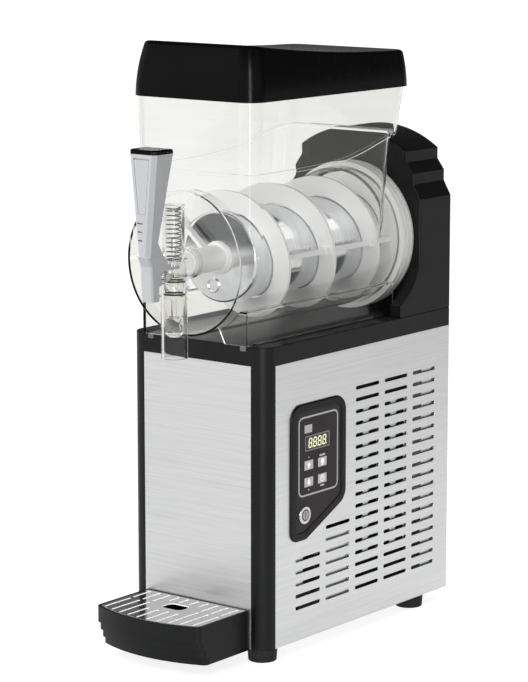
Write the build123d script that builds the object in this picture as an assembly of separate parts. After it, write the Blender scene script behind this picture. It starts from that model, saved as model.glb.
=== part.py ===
from build123d import *

import math
import os

# Single-bowl slushie machine for a counter, one STEP file for each physical piece.
#
# Construction frame, millimetres: x = 0 on the machine's mid-plane, y = 0 on the cabinet's front
# face (the customer stands at -y), z = 0 on the counter. save() moves everything to the final
# origin, the centre of the machine's footprint.

# ---------------------------------------------------------------- driving dimensions
BODY_WIDTH = 228.0
BODY_DEPTH = 420.0
FOOT_HEIGHT = 17.0
PANEL_TOP = 396.0
DECK_TOP = 422.0
SHEET = 1.2
MOULDED_WALL = 3.0
CORNER_RADIUS = 20.0
COLUMN_WIDTH = 23.6
COLUMN_DEPTH = 22.2

AXIS_Z = 525.0
BOWL_RADIUS = 95.5
BOWL_WALL = 3.0
BOWL_FRONT = -26.5
BOWL_REAR = 346.0
HOPPER_TOP = 741.0
LID_BOTTOM = 737.0
LID_TOP_FRONT = 812.0
LID_TOP_REAR = 786.0

DRUM_RADIUS = 60.0
DRUM_FRONT = 48.0
HOUSING_FRONT = 346.0
HOUSING_REAR = 417.0
AUGER_INNER = 61.5
AUGER_OUTER = 88.0
AUGER_PITCH = 100.0
AUGER_FIRST_CROSSING = 84.0
SHAFT_RADIUS = 8.0
RUNNING_GAP = 0.05

TAP_Y = -45.0
TAP_BOTTOM = 404.0
TAP_BODY_TOP = 512.0
TAP_BORE = 14.4
TAP_OUTER = 17.4
SPRING_TUBE_TOP = 604.0
PIVOT_Y = -76.0
PIVOT_Z = 515.0

TRAY_HALF_WIDTH = 87.6
TRAY_SIDE_DEPTH = 103.0
TRAY_MID_DEPTH = 122.0
TRAY_TOP = 70.0

LOCK_FACE_X = 118.0
INLET_REAR_Y = 422.0

HALF_WIDTH = BODY_WIDTH / 2
PANEL_INSIDE = HALF_WIDTH - SHEET
FOOTPRINT_CENTRE_X = (LOCK_FACE_X - HALF_WIDTH) / 2
FOOTPRINT_CENTRE_Y = (INLET_REAR_Y - TRAY_MID_DEPTH) / 2
TO_ORIGIN = Pos(-FOOTPRINT_CENTRE_X, -FOOTPRINT_CENTRE_Y, 0)


# ---------------------------------------------------------------- building helpers
def block(x, y, z):
    """Box between the (low, high) pairs x, y and z."""
    centre = Pos((x[0] + x[1]) / 2, (y[0] + y[1]) / 2, (z[0] + z[1]) / 2)
    return centre * Box(x[1] - x[0], y[1] - y[0], z[1] - z[0])


def rod_x(radius, x0, x1, y, z):
    return Pos((x0 + x1) / 2, y, z) * Rot(Y=90) * Cylinder(radius, x1 - x0)


def rod_y(radius, y0, y1, x=0.0, z=AXIS_Z):
    return Pos(x, (y0 + y1) / 2, z) * Rot(X=90) * Cylinder(radius, y1 - y0)


def rod_z(radius, z0, z1, x, y):
    return Pos(x, y, (z0 + z1) / 2) * Cylinder(radius, z1 - z0)


def prism_x(outline, x0, x1):
    """Outline drawn in (y, z), extruded from x0 to x1."""
    return extrude(Plane.YZ.offset(x0) * outline, x1 - x0, dir=(1, 0, 0))


def prism_y(outline, y0, y1):
    """Outline drawn in (x, z), extruded from y0 to y1."""
    return extrude(Plane.XZ.offset(-y0) * outline, y1 - y0, dir=(0, 1, 0))


def prism_z(outline, z0, z1):
    """Outline drawn in (x, y), extruded from z0 to z1."""
    return extrude(Pos(0, 0, z0) * outline, z1 - z0, dir=(0, 0, 1))


def outline_of(*points):
    return make_face(Polyline(*points, close=True))


def rectangle(x0, x1, y0, y1):
    return Pos((x0 + x1) / 2, (y0 + y1) / 2) * Rectangle(x1 - x0, y1 - y0)


def rounded_rectangle(x0, x1, y0, y1, radius):
    return Pos((x0 + x1) / 2, (y0 + y1) / 2) * RectangleRounded(x1 - x0, y1 - y0, radius)


def both_sides(shape):
    """The shape and its mirror image across the machine's mid-plane."""
    return shape + mirror(shape, Plane.YZ)


def along_spindle(shape):
    """Turn a shape built about the z axis so that its z runs backwards along the bowl's axis."""
    return Pos(0, 0, AXIS_Z) * Rot(X=-90) * shape


# ---------------------------------------------------------------- cabinet
PAN_GAP = 0.4
PAN_RIM = 22.0
FOOT_RADIUS = 20.0
FOOT_X = 94.0
FOOT_FRONT_Y = 20.0
FOOT_REAR_Y = 356.0

VENT_LENGTH = 54.0
VENT_HEIGHT = 5.0
VENT_COLUMN_PITCH = 66.7
VENT_ROW_PITCH = 16.35
VENT_FIRST_Y = 92.5
VENT_LOWEST_Z = 61.8
VENT_ROWS = (5, 7, 18, 18, 18)

TONGUE_X = 50.0
TONGUE_HALF_WIDTH = 8.0
TONGUE_Z = (44.0, 47.0)
TONGUE_LENGTH = 9.0

STIFFENER_GAP = 3.0
STIFFENERS = (
    {"y": (62.0, 87.0), "z": (88.0, 132.0), "folds": (62.0,)},
    {"y": (128.0, 190.0), "z": (42.0, 152.0), "folds": (128.0, 188.8)},
    {"y": (360.0, 400.0), "z": (42.0, 394.0), "folds": (398.8,)},
)

INLET_X = -70.0
INLET_Z = 70.0
INLET_HALF = (14.0, 10.0)


def cabinet_footprint(inset):
    """Deck and cabinet outline: rounded at the two front corners, square at the back."""
    half = HALF_WIDTH - inset
    sketch = rectangle(-half, half, inset, BODY_DEPTH - inset)
    front = sketch.vertices().sort_by(Axis.Y)[:2]
    return fillet(front, CORNER_RADIUS - inset)


def base_pan():
    """Folded steel tray that carries the compressor, with a rim all round."""
    wide = rectangle(
        PAN_GAP - PANEL_INSIDE, PANEL_INSIDE - PAN_GAP,
        COLUMN_DEPTH + PAN_GAP, BODY_DEPTH - SHEET - PAN_GAP,
    )
    tongue_half = HALF_WIDTH - COLUMN_WIDTH - 2 * SHEET
    outline = wide + rectangle(-tongue_half, tongue_half, SHEET + PAN_GAP, 2 * COLUMN_DEPTH)
    tray = prism_z(outline, FOOT_HEIGHT, FOOT_HEIGHT + PAN_RIM)
    return tray - prism_z(offset(outline, -SHEET), FOOT_HEIGHT + SHEET, FOOT_HEIGHT + PAN_RIM)


def rubber_feet():
    foot = Pos(0, 0, FOOT_HEIGHT / 2) * Cone(FOOT_RADIUS - 1.2, FOOT_RADIUS, FOOT_HEIGHT)
    foot = fillet(foot.edges().sort_by(Axis.Z)[0], 1.5)
    foot -= rod_z(4.5, 0, 6, 0, 0)
    return [
        Pos(x, y, 0) * foot
        for x in (-FOOT_X, FOOT_X)
        for y in (FOOT_FRONT_Y, FOOT_REAR_Y)
    ]


def front_column(side):
    """Moulded corner post, an open channel with a large rounded outer corner."""
    inner_edge = HALF_WIDTH - COLUMN_WIDTH
    solid = rectangle(inner_edge, HALF_WIDTH, 0, COLUMN_DEPTH)
    corner = solid.vertices().sort_by(Axis.X)[-2:].sort_by(Axis.Y)[0]
    outer = fillet(corner, CORNER_RADIUS)
    hollow = rectangle(
        inner_edge - MOULDED_WALL, HALF_WIDTH - MOULDED_WALL,
        MOULDED_WALL, COLUMN_DEPTH + MOULDED_WALL,
    )
    corner = hollow.vertices().sort_by(Axis.X)[-2:].sort_by(Axis.Y)[0]
    inner = fillet(corner, CORNER_RADIUS - MOULDED_WALL)
    post = prism_z(outer - inner, FOOT_HEIGHT, PANEL_TOP)
    return post if side > 0 else mirror(post, Plane.YZ)


def front_panel():
    """Brushed sheet between the corner posts, with two slots that hold the drip tray."""
    half = HALF_WIDTH - COLUMN_WIDTH - 0.1
    panel = block((-half, half), (0, SHEET), (FOOT_HEIGHT, PANEL_TOP))
    rim_bottom = FOOT_HEIGHT + PAN_RIM + 3
    panel += both_sides(block((half - SHEET, half), (SHEET, 12), (rim_bottom, PANEL_TOP)))
    slot = block(
        (TONGUE_X - TONGUE_HALF_WIDTH - 0.5, TONGUE_X + TONGUE_HALF_WIDTH + 0.5),
        (-1, SHEET + 1),
        (TONGUE_Z[0] - 0.5, TONGUE_Z[1] + 0.5),
    )
    return panel - both_sides(slot)


def vent_slots():
    """Ventilation slots of one side panel, drawn in (y, z)."""
    slot = SlotOverall(VENT_LENGTH, VENT_HEIGHT)
    places = [
        (VENT_FIRST_Y + column * VENT_COLUMN_PITCH, VENT_LOWEST_Z + row * VENT_ROW_PITCH)
        for column, rows in enumerate(VENT_ROWS)
        for row in range(rows)
    ]
    return Sketch() + [Pos(y, z) * slot for y, z in places]


def side_stiffeners():
    """Folded plates welded inside the side sheet, a few millimetres behind its slots."""
    inner = PANEL_INSIDE - STIFFENER_GAP
    plates = Part()
    for plate in STIFFENERS:
        plates += block((inner - SHEET, inner), plate["y"], plate["z"])
        for fold in plate["folds"]:
            plates += block((inner - SHEET, PANEL_INSIDE), (fold, fold + SHEET), plate["z"])
    return plates


def side_panel(side):
    """Slotted side sheet; the right one also has the opening behind the control panel."""
    outline = rectangle(COLUMN_DEPTH + 0.1, BODY_DEPTH, FOOT_HEIGHT, PANEL_TOP) - vent_slots()
    if side > 0:
        outline -= offset(control_outline(), -(BEZEL_BAND + 3))
    panel = prism_x(outline, PANEL_INSIDE, HALF_WIDTH)
    panel += block((98, PANEL_INSIDE), (30, BODY_DEPTH - 10), (PANEL_TOP - SHEET, PANEL_TOP))
    panel += side_stiffeners()
    return panel if side > 0 else mirror(panel, Plane.YZ)


def rear_panel():
    """Back sheet with two banks of vents clear of the condenser, the inlet's opening and screw holes."""
    half = PANEL_INSIDE - 0.1
    outline = rectangle(-half, half, FOOT_HEIGHT, PANEL_TOP)
    slot = SlotOverall(VENT_LENGTH, VENT_HEIGHT)
    rows = range(6, 18)
    outline -= Sketch() + [
        Pos(x, VENT_LOWEST_Z + row * VENT_ROW_PITCH) * slot for x in (-62, 4) for row in rows
    ]
    outline -= Pos(INLET_X, INLET_Z) * Rectangle(2 * INLET_HALF[0], 2 * INLET_HALF[1])
    outline -= Sketch() + [Pos(x, z) * Circle(SCREW_HOLE) for x, z in PANEL_SCREW_PLACES]
    return prism_y(outline, BODY_DEPTH - SHEET, BODY_DEPTH)


SCREW_SHANK = 2.0
SCREW_HOLE = 2.3
SCREW_HEAD = 3.8
SCREW_HEAD_HEIGHT = 1.6
PANEL_SCREW_PLACES = [(x, z) for x in (-104, 104) for z in (48, 206, 376)]
COVER_SCREW_PLACES = [(x, z) for x in (-107, 107) for z in (436, 566)]


def panel_screws():
    """Pan-head screws of the back sheet and of the housing's rear cover."""
    screws = []
    for x, z in PANEL_SCREW_PLACES + COVER_SCREW_PLACES:
        head = rod_y(SCREW_HEAD, BODY_DEPTH, BODY_DEPTH + SCREW_HEAD_HEIGHT, x, z)
        head = fillet(head.edges().sort_by(Axis.Y)[-1], 1.0)
        shank = rod_y(SCREW_SHANK, BODY_DEPTH - 6, BODY_DEPTH, x, z)
        cross = block((x - 2.2, x + 2.2), (BODY_DEPTH + 0.8, BODY_DEPTH + 2), (z - 0.4, z + 0.4))
        cross += block((x - 0.4, x + 0.4), (BODY_DEPTH + 0.8, BODY_DEPTH + 2), (z - 2.2, z + 2.2))
        screws.append(head + shank - cross)
    return screws


def mains_inlet():
    """Appliance inlet socket in the back sheet, with its flange and three pins."""
    wide, tall = INLET_HALF
    body = prism_y(
        Pos(INLET_X, INLET_Z) * RectangleRounded(2 * wide - 0.4, 2 * tall - 0.4, 3),
        BODY_DEPTH - 24, BODY_DEPTH,
    )
    flange = prism_y(
        Pos(INLET_X, INLET_Z) * RectangleRounded(2 * wide + 12, 2 * tall + 8, 4),
        BODY_DEPTH, INLET_REAR_Y,
    )
    well = prism_y(
        Pos(INLET_X, INLET_Z) * RectangleRounded(2 * wide - 4, 2 * tall - 4, 2.5),
        BODY_DEPTH - 17, INLET_REAR_Y,
    )
    pins = [
        block((INLET_X + x - 1, INLET_X + x + 1), (BODY_DEPTH - 17, BODY_DEPTH - 3),
              (INLET_Z + z - 2, INLET_Z + z + 2))
        for x, z in ((-7, -1.5), (0, 2), (7, -1.5))
    ]
    return body + flange - well + pins


# ---------------------------------------------------------------- deck and rear housing
PLUG_X = 78.0
PLUG_HALF = 4.5
PLUG_Z = (415.0, 421.0)
PLUG_DEPTH = 8.0
DECK_OPENING = ((-45.0, 45.0), (362.0, 405.0))

DISH_RADIUS = 104.5
DISH_FLOOR = 351.0
DRUM_HOLE = 62.5
CHEEK_INSIDE = 97.0
SHOULDERS = ((114.0, 580.0), (102.5, 600.0), (102.5, 615.0), (91.4, 630.0), (91.4, 645.0))
CROWN_Z = 674.0


def top_deck():
    """Moulded deck under the bowl, hollow below, with pockets for two front plugs."""
    deck = prism_z(cabinet_footprint(0), PANEL_TOP, DECK_TOP)
    deck = fillet(deck.faces().sort_by(Axis.Z)[-1].edges(), 1.5)
    deck -= prism_z(cabinet_footprint(MOULDED_WALL), PANEL_TOP, DECK_TOP - MOULDED_WALL)
    deck += both_sides(
        block((PLUG_X - 9, PLUG_X + 9), (1, PLUG_DEPTH + 3), (PLUG_Z[0] - 4, DECK_TOP - 1.5))
    )
    pocket_z = (PLUG_Z[0] - 0.1, PLUG_Z[1] + 0.1)
    pocket_x = (PLUG_X - PLUG_HALF - 0.1, PLUG_X + PLUG_HALF + 0.1)
    deck -= both_sides(block(pocket_x, (-1, PLUG_DEPTH), pocket_z))
    return deck - block(*DECK_OPENING, (DECK_TOP - 5, DECK_TOP + 1))


def deck_plugs():
    """Two small plugs that close the front pockets of the deck."""
    plug = block((PLUG_X - PLUG_HALF, PLUG_X + PLUG_HALF), (-0.8, PLUG_DEPTH - 0.5), PLUG_Z)
    plug = fillet(plug.edges().filter_by(Axis.Y), 1.2)
    return [plug, mirror(plug, Plane.YZ)]


def housing_outline(inset):
    """Stepped shoulders and a gently arched crown, drawn in (x, z)."""
    right = [(HALF_WIDTH, DECK_TOP), *SHOULDERS]
    left = [(-x, z) for x, z in reversed(right)]
    edges = Polyline(*left) + Polyline(*right)
    crown = ThreePointArc(SHOULDERS[-1], (0, CROWN_Z), (-SHOULDERS[-1][0], SHOULDERS[-1][1]))
    base = Line(left[-1], right[0])
    face = make_face(edges + crown + base)
    if inset:
        face = offset(face, -inset)
        face += rectangle(inset - HALF_WIDTH, HALF_WIDTH - inset, DECK_TOP, DECK_TOP + 2 * inset)
    return face


def cheek_profile():
    """Foot of the housing that sweeps forward beside the bowl, drawn in (y, z)."""
    foot_y, foot_z, curl_top = 301.0, 437.7, 486.0
    sides = Polyline(
        (HOUSING_FRONT, curl_top), (HOUSING_FRONT + 4, curl_top),
        (HOUSING_FRONT + 4, DECK_TOP), (foot_y, DECK_TOP), (foot_y, foot_z),
    )
    sweep_up = ThreePointArc((foot_y, foot_z), (329, 459), (HOUSING_FRONT, curl_top))
    return make_face(sides + sweep_up)


def rear_housing():
    """Moulded cover of the gear motor, open at the back, with a dish round the bowl's seal."""
    shell = prism_y(housing_outline(0), HOUSING_FRONT, HOUSING_REAR)
    cheek = prism_x(cheek_profile(), CHEEK_INSIDE, HALF_WIDTH)
    shell = fillet(
        shell.edges().group_by(Axis.Y)[0].filter_by(lambda edge: edge.center().Z > DECK_TOP + 1), 2.0
    )
    shell -= prism_y(
        housing_outline(MOULDED_WALL), HOUSING_FRONT + MOULDED_WALL, HOUSING_REAR
    )
    rim = rod_y(DISH_RADIUS + MOULDED_WALL, HOUSING_FRONT + 1, DISH_FLOOR + MOULDED_WALL)
    inside = prism_y(housing_outline(MOULDED_WALL / 2), HOUSING_FRONT, HOUSING_REAR)
    shell += rim & inside
    shell += both_sides(cheek)
    shell -= rod_y(DISH_RADIUS, 290, DISH_FLOOR)
    shell -= rod_y(DRUM_HOLE, 290, DISH_FLOOR + 10)
    for x, z in COVER_SCREW_PLACES:
        boss = rod_y(5, HOUSING_REAR - 12, HOUSING_REAR, x, z)
        shell += boss
        shell -= rod_y(SCREW_HOLE, HOUSING_REAR - 8, HOUSING_REAR, x, z)
    return shell


def housing_cover():
    """Rear plate of the housing with a short bank of vents."""
    outline = housing_outline(0)
    slot = SlotOverall(VENT_LENGTH, VENT_HEIGHT)
    outline -= Sketch() + [
        Pos(x, 460 + row * VENT_ROW_PITCH) * slot for x in (-45, 45) for row in range(7)
    ]
    outline -= Sketch() + [Pos(x, z) * Circle(SCREW_HOLE) for x, z in COVER_SCREW_PLACES]
    return prism_y(outline, HOUSING_REAR, BODY_DEPTH)


# ---------------------------------------------------------------- freezing drum and drive
DRUM_WALL = 1.5
DRUM_FLANGE = 74.0
DRUM_FLANGE_Y = (354.2, 357.2)
SHAFT_TUBE = 12.0
SHAFT_TUBE_BORE = 10.1
SEAL_FRONT = 41.0
SEAL_RADIUS = 22.0
HUB_RADIUS = 17.0
HUB_FRONT = -18.0
HUB_REAR = 40.5
SQUARE_END = 11.2

GEAR_MODULE = 1.2
GEAR_TEETH = 54
PINION_TEETH = 18
GEAR_Y = (366.0, 378.0)
PRESSURE_ANGLE = math.radians(20)
PINION_Z = AXIS_Z + GEAR_MODULE * (GEAR_TEETH + PINION_TEETH) / 2
MOTOR_SHAFT = 3.0
CASE_Y = (359.0, 387.0)
CASE_HALF_WIDTH = 42.0
CASE_Z = (483.0, 588.0)
MOTOR_RADIUS = 30.0
MOTOR_Y = (387.2, 413.0)


def evaporator_drum():
    """Stainless drum closed at the front, with a shaft tube down its middle and a rear flange."""
    front_plug_x, front_plug_z = -10.0, AXIS_Z - 38.0
    skin = rod_y(DRUM_RADIUS, DRUM_FRONT, DRUM_FLANGE_Y[1])
    skin = fillet(skin.edges().sort_by(Axis.Y)[0], 3.0)
    skin += rod_y(DRUM_FLANGE, *DRUM_FLANGE_Y)
    hollow = rod_y(DRUM_RADIUS - DRUM_WALL, DRUM_FRONT + DRUM_WALL, DRUM_FLANGE_Y[1] - DRUM_WALL)
    hollow -= rod_y(SHAFT_TUBE, DRUM_FRONT, DRUM_FLANGE_Y[1])
    skin -= hollow
    collar = rod_y(10.5, DRUM_FRONT - 2.5, DRUM_FRONT, front_plug_x, front_plug_z)
    collar = fillet(collar.edges().sort_by(Axis.Y)[0], 1.0)
    skin += collar - rod_y(8.0, DRUM_FRONT - 2.5, DRUM_FRONT - 0.5, front_plug_x, front_plug_z)
    return skin - rod_y(SHAFT_TUBE_BORE, DRUM_FRONT - 1, DRUM_FLANGE_Y[1] + 1)


def evaporator_coil():
    """Copper tube wound against the inside of the drum."""
    tube, radius, pitch, start, end = 3.5, 54.0, 20.0, 60.0, 340.0
    path = Helix(pitch=pitch, height=end - start, radius=radius)
    section = Plane(origin=path @ 0, z_dir=path % 0) * Circle(tube)
    return along_spindle(Pos(0, 0, start) * sweep(section, path, is_frenet=True))


def shaft_seal():
    """Silicone lip seal that stands on the drum's front face round the shaft."""
    ring = rod_y(SEAL_RADIUS, SEAL_FRONT + 3, DRUM_FRONT - 0.02)
    ring += rod_y(HUB_RADIUS + 4, SEAL_FRONT, SEAL_FRONT + 3)
    return ring - rod_y(SHAFT_RADIUS + RUNNING_GAP, SEAL_FRONT - 1, DRUM_FRONT + 1)


def front_bush():
    """Plain bearing pressed into the front of the shaft tube."""
    bush = rod_y(SHAFT_TUBE_BORE - 0.02, DRUM_FRONT + 0.5, DRUM_FRONT + 14)
    return bush - rod_y(SHAFT_RADIUS + RUNNING_GAP, DRUM_FRONT, DRUM_FRONT + 15)


def drive_shaft():
    """Shaft from the gear case to the auger, with a square front end that turns the hub."""
    half = SQUARE_END / 2
    shaft = rod_y(SHAFT_RADIUS, SEAL_FRONT - 3, CASE_Y[1] - 0.5)
    square = block((-half, half), (HUB_FRONT + 6, SEAL_FRONT - 3), (AXIS_Z - half, AXIS_Z + half))
    return shaft + square


def auger():
    """One-start helical scraper with three tie bars, an end ring, a front arm and its hub."""
    blade, bar_radius, bar_size, start_angle, rear = 4.0, 75.0, 6.5, -140.0, 330.0
    start = AUGER_FIRST_CROSSING + AUGER_PITCH * start_angle / 360
    middle = (AUGER_INNER + AUGER_OUTER) / 2
    path = Helix(pitch=AUGER_PITCH, height=rear - start, radius=middle)
    section = Plane(origin=path @ 0, x_dir=(1, 0, 0), z_dir=path % 0) * Rectangle(
        AUGER_OUTER - AUGER_INNER, blade
    )
    flight = Rot(Z=start_angle) * sweep(section, path, is_frenet=True)
    body = Pos(0, 0, start) * flight
    ring = Cylinder(AUGER_OUTER + 0.5, 6) - Cylinder(AUGER_INNER - 0.4, 6)
    body += Pos(0, 0, rear) * ring
    for number in range(3):
        angle = 120.0 * number
        first = AUGER_FIRST_CROSSING + AUGER_PITCH * angle / 360
        turn = Rot(Z=angle)
        bar = block((bar_radius - 2.5, bar_radius + 2.5), (-bar_size / 2, bar_size / 2), (first, rear))
        body += turn * bar
        crossing = first + AUGER_PITCH
        while crossing < rear:
            lug = block((bar_radius - 5, bar_radius + 5), (-5, 5), (crossing - 8, crossing))
            body += turn * lug
            crossing += AUGER_PITCH
    arm = block((HUB_RADIUS - 3, middle), (-2.5, 2.5), (start - 16, HUB_REAR - 0.2))
    body += Rot(Z=start_angle + 1.5) * arm
    root = block((middle - 10, AUGER_OUTER - 1), (-2.5, 2.5), (start - 16, start + 1))
    body += Rot(Z=start_angle + 1.5) * root
    hub = Pos(0, 0, (HUB_FRONT + HUB_REAR) / 2) * Cylinder(HUB_RADIUS, HUB_REAR - HUB_FRONT)
    hub = fillet(hub.edges().sort_by(Axis.Z)[0], 4.0)
    socket = SQUARE_END + 0.2
    hub -= Pos(0, 0, (HUB_FRONT + 5 + HUB_REAR) / 2) * Box(socket, socket, HUB_REAR - HUB_FRONT - 5)
    hub -= Pos(0, 0, HUB_REAR) * Cylinder(SHAFT_RADIUS + 0.1, 6)
    return along_spindle(body + hub)


def spur_gear(teeth, first_tooth):
    """Involute spur gear outline; first_tooth is the direction of one tooth, in degrees."""
    pitch_radius = GEAR_MODULE * teeth / 2
    base = pitch_radius * math.cos(PRESSURE_ANGLE)
    tip = pitch_radius + GEAR_MODULE
    root = pitch_radius - 1.25 * GEAR_MODULE
    backlash = 0.08
    half_tooth = math.pi / (2 * teeth) - backlash / pitch_radius
    involute_at_pitch = math.tan(PRESSURE_ANGLE) - PRESSURE_ANGLE
    flank = []
    steps = 4
    for step in range(steps + 1):
        radius = max(base, root) + (tip - max(base, root)) * step / steps
        pressure = math.acos(base / radius)
        lean = half_tooth + involute_at_pitch - (math.tan(pressure) - pressure)
        flank.append((radius, lean))
    if root < base:
        flank.insert(0, (root, flank[0][1]))
    points = []
    for tooth in range(teeth):
        middle = math.radians(first_tooth) + 2 * math.pi * tooth / teeth
        for radius, lean in flank:
            points.append((radius * math.cos(middle - lean), radius * math.sin(middle - lean)))
        for radius, lean in reversed(flank):
            points.append((radius * math.cos(middle + lean), radius * math.sin(middle + lean)))
    return outline_of(*points)


def drive_gear():
    outline = spur_gear(GEAR_TEETH, 90.0) - Circle(SHAFT_RADIUS + 0.02)
    return prism_y(Pos(0, AXIS_Z) * outline, *GEAR_Y)


def motor_pinion():
    """Pinion with its shaft, which runs back into the motor."""
    outline = spur_gear(PINION_TEETH, 270.0 + 180.0 / PINION_TEETH)
    pinion = prism_y(Pos(0, PINION_Z) * outline, *GEAR_Y)
    return pinion + rod_y(MOTOR_SHAFT, GEAR_Y[0], MOTOR_Y[0] + 10, 0, PINION_Z)


def case_outline(inset):
    return rounded_rectangle(
        inset - CASE_HALF_WIDTH, CASE_HALF_WIDTH - inset, CASE_Z[0] + inset, CASE_Z[1] - inset,
        12 - inset,
    )


def gear_case():
    """Die-cast case round the gears, open at the back."""
    case = prism_y(case_outline(0), CASE_Y[0], CASE_Y[1] - MOULDED_WALL)
    case -= prism_y(
        case_outline(MOULDED_WALL), CASE_Y[0] + MOULDED_WALL, CASE_Y[1] - MOULDED_WALL
    )
    return case - rod_y(SHAFT_RADIUS + RUNNING_GAP, CASE_Y[0] - 1, CASE_Y[1])


def gear_case_cover():
    """Cover plate with the bearings of both shafts."""
    cover = prism_y(case_outline(0), CASE_Y[1] - MOULDED_WALL, CASE_Y[1])
    cover -= rod_y(SHAFT_RADIUS + RUNNING_GAP, CASE_Y[0], CASE_Y[1] + 1)
    return cover - rod_y(MOTOR_SHAFT + RUNNING_GAP, CASE_Y[0], CASE_Y[1] + 1, 0, PINION_Z)


def gear_motor():
    """Flat motor on the back of the gear case."""
    can = rod_y(MOTOR_RADIUS, *MOTOR_Y, 0, PINION_Z)
    can = fillet(can.edges().sort_by(Axis.Y)[-1], 4.0)
    return can - rod_y(MOTOR_SHAFT + RUNNING_GAP, MOTOR_Y[0], MOTOR_Y[0] + 12, 0, PINION_Z)


# ---------------------------------------------------------------- bowl, lid and seal
HOPPER_CORNER = 22.0
SKIRT_X = 88.0
SKIRT_TOP = 467.0
SKIRT_Y = (-4.0, 320.0)
PORT_Z = 497.0
PORT_RADIUS = 6.5
LEDGE = ((-40.0, 640.0), (70.0, 641.0), (140.0, 643.0), (200.0, 648.0), (240.0, 656.0),
         (270.0, 664.0), (300.0, 671.0), (360.0, 676.0))


def tapered_box(low, high, inset):
    """Loft between two rounded rectangles, each given as (z, half width, front y, rear y)."""
    faces = []
    for z, half, front, rear in (low, high):
        faces.append(Pos(0, 0, z) * rounded_rectangle(
            inset - half, half - inset, front + inset, rear - inset, HOPPER_CORNER - inset
        ))
    return loft(faces)


def hopper(inset, top):
    """Hopper volume: a lower box and a slightly larger upper one that meet at a curved ledge."""
    lower = tapered_box((AXIS_Z, BOWL_RADIUS, -3, 295), (690, 97.5, -6, 313), inset)
    upper = tapered_box((600, 99.0, -7.5, 305), (top, 101, -9, 338), inset)
    lift = inset * 1.2
    ledge = Spline(*[(y, z + lift) for y, z in LEDGE])
    below = make_face(ledge + Polyline(
        (LEDGE[-1][0], LEDGE[-1][1] + lift), (LEDGE[-1][0], 560), (LEDGE[0][0], 560),
        (LEDGE[0][0], LEDGE[0][1] + lift),
    ))
    return lower + (upper - prism_x(below, -120, 120))


def tap_lugs():
    """Two ears in front of the tap that carry the handle's pin."""
    ear = prism_x(
        outline_of(
            (TAP_Y - 8, PIVOT_Z - 17), (TAP_Y - 8, PIVOT_Z - 6), (PIVOT_Y, PIVOT_Z + 7),
            (PIVOT_Y - 7, PIVOT_Z + 4), (PIVOT_Y - 7, PIVOT_Z - 5), (PIVOT_Y, PIVOT_Z - 9),
        ),
        HANDLE_NARROW + 0.6, HANDLE_NARROW + 4.2,
    )
    ears = both_sides(ear) - rod_z(TAP_OUTER + 0.4, TAP_BODY_TOP, TAP_BODY_TOP + 10, 0, TAP_Y)
    return ears - rod_x(HANDLE_PIN + RUNNING_GAP, -20, 20, PIVOT_Y, PIVOT_Z)


def bowl():
    """Clear moulding: freezing cylinder, hopper, skirts that stand on the deck, and the tap tube."""
    inner_radius = BOWL_RADIUS - BOWL_WALL
    barrel = rod_y(BOWL_RADIUS, BOWL_FRONT, BOWL_REAR)
    barrel = fillet(barrel.edges().sort_by(Axis.Y)[0], 2.0)
    body = barrel + hopper(0, HOPPER_TOP)
    skirts = block((-SKIRT_X, SKIRT_X), SKIRT_Y, (DECK_TOP, SKIRT_TOP))
    hollow_x = SKIRT_X - BOWL_WALL
    skirts -= block(
        (-hollow_x, hollow_x), (SKIRT_Y[0] + BOWL_WALL, SKIRT_Y[1] + 1),
        (DECK_TOP, SKIRT_TOP - BOWL_WALL),
    )
    skirts -= prism_y(
        outline_of((-50, DECK_TOP), (50, DECK_TOP), (40, 442), (-40, 442)), SKIRT_Y[0] - 1, 0
    )
    body += skirts
    body += both_sides(block((SKIRT_X - 1, SKIRT_X + 5), (8, 318), (DECK_TOP, DECK_TOP + 2.5)))
    body -= rod_y(inner_radius, BOWL_FRONT + BOWL_WALL, BOWL_REAR + 1)
    body -= hopper(BOWL_WALL, HOPPER_TOP + 1)
    bearing = rod_y(HUB_RADIUS + 3.6, BOWL_FRONT + 1, HUB_FRONT + 8)
    body += bearing - rod_y(HUB_RADIUS + 0.6, HUB_FRONT - 1.5, HUB_FRONT + 9)
    tap = rod_z(TAP_OUTER, TAP_BOTTOM, TAP_BODY_TOP, 0, TAP_Y)
    tap += rod_y(PORT_RADIUS + 4.5, TAP_Y, BOWL_FRONT + 1, 0, PORT_Z)
    body += tap + tap_lugs()
    body -= rod_z(TAP_BORE, TAP_BOTTOM - 1, TAP_BODY_TOP + 1, 0, TAP_Y)
    return body - rod_y(PORT_RADIUS, TAP_Y, BOWL_FRONT + BOWL_WALL + 1, 0, PORT_Z)


def bowl_seal():
    """Ribbed silicone gasket stretched over the bowl's rear end."""
    ribs = [rod_y(102.8, y, y + 5.5) for y in (323.0, 332.5, 342.0)]
    ring = rod_y(100.0, 323.0, 349.5) + ribs
    return ring - rod_y(BOWL_RADIUS + 0.05, 320, BOWL_REAR + 0.1) - rod_y(91, 340, 351)


def lid_section(z, inset):
    """Lid outline at a height: the sides curve inwards towards the top."""
    half, front, rear, corner = 104.75, -12.5, 342.0, 25.0
    rise = (z - LID_BOTTOM) / 72.0
    inset = inset + 10.0 * rise ** 2 + 0.8 * rise
    return Pos(0, 0, z) * rounded_rectangle(
        inset - half, half - inset, front + inset, rear - inset, corner - inset * 0.3
    )


def lid_top_cut(drop):
    """Everything above the lid's sloping, slightly hollow top surface."""
    slope = Spline((-40, LID_TOP_FRONT + 3 - drop), (150, 793.6 - drop), (370, LID_TOP_REAR - drop))
    sky = Polyline(
        (370, LID_TOP_REAR - drop), (370, 860), (-40, 860), (-40, LID_TOP_FRONT + 3 - drop)
    )
    return prism_x(make_face(slope + sky), -120, 120)


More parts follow.
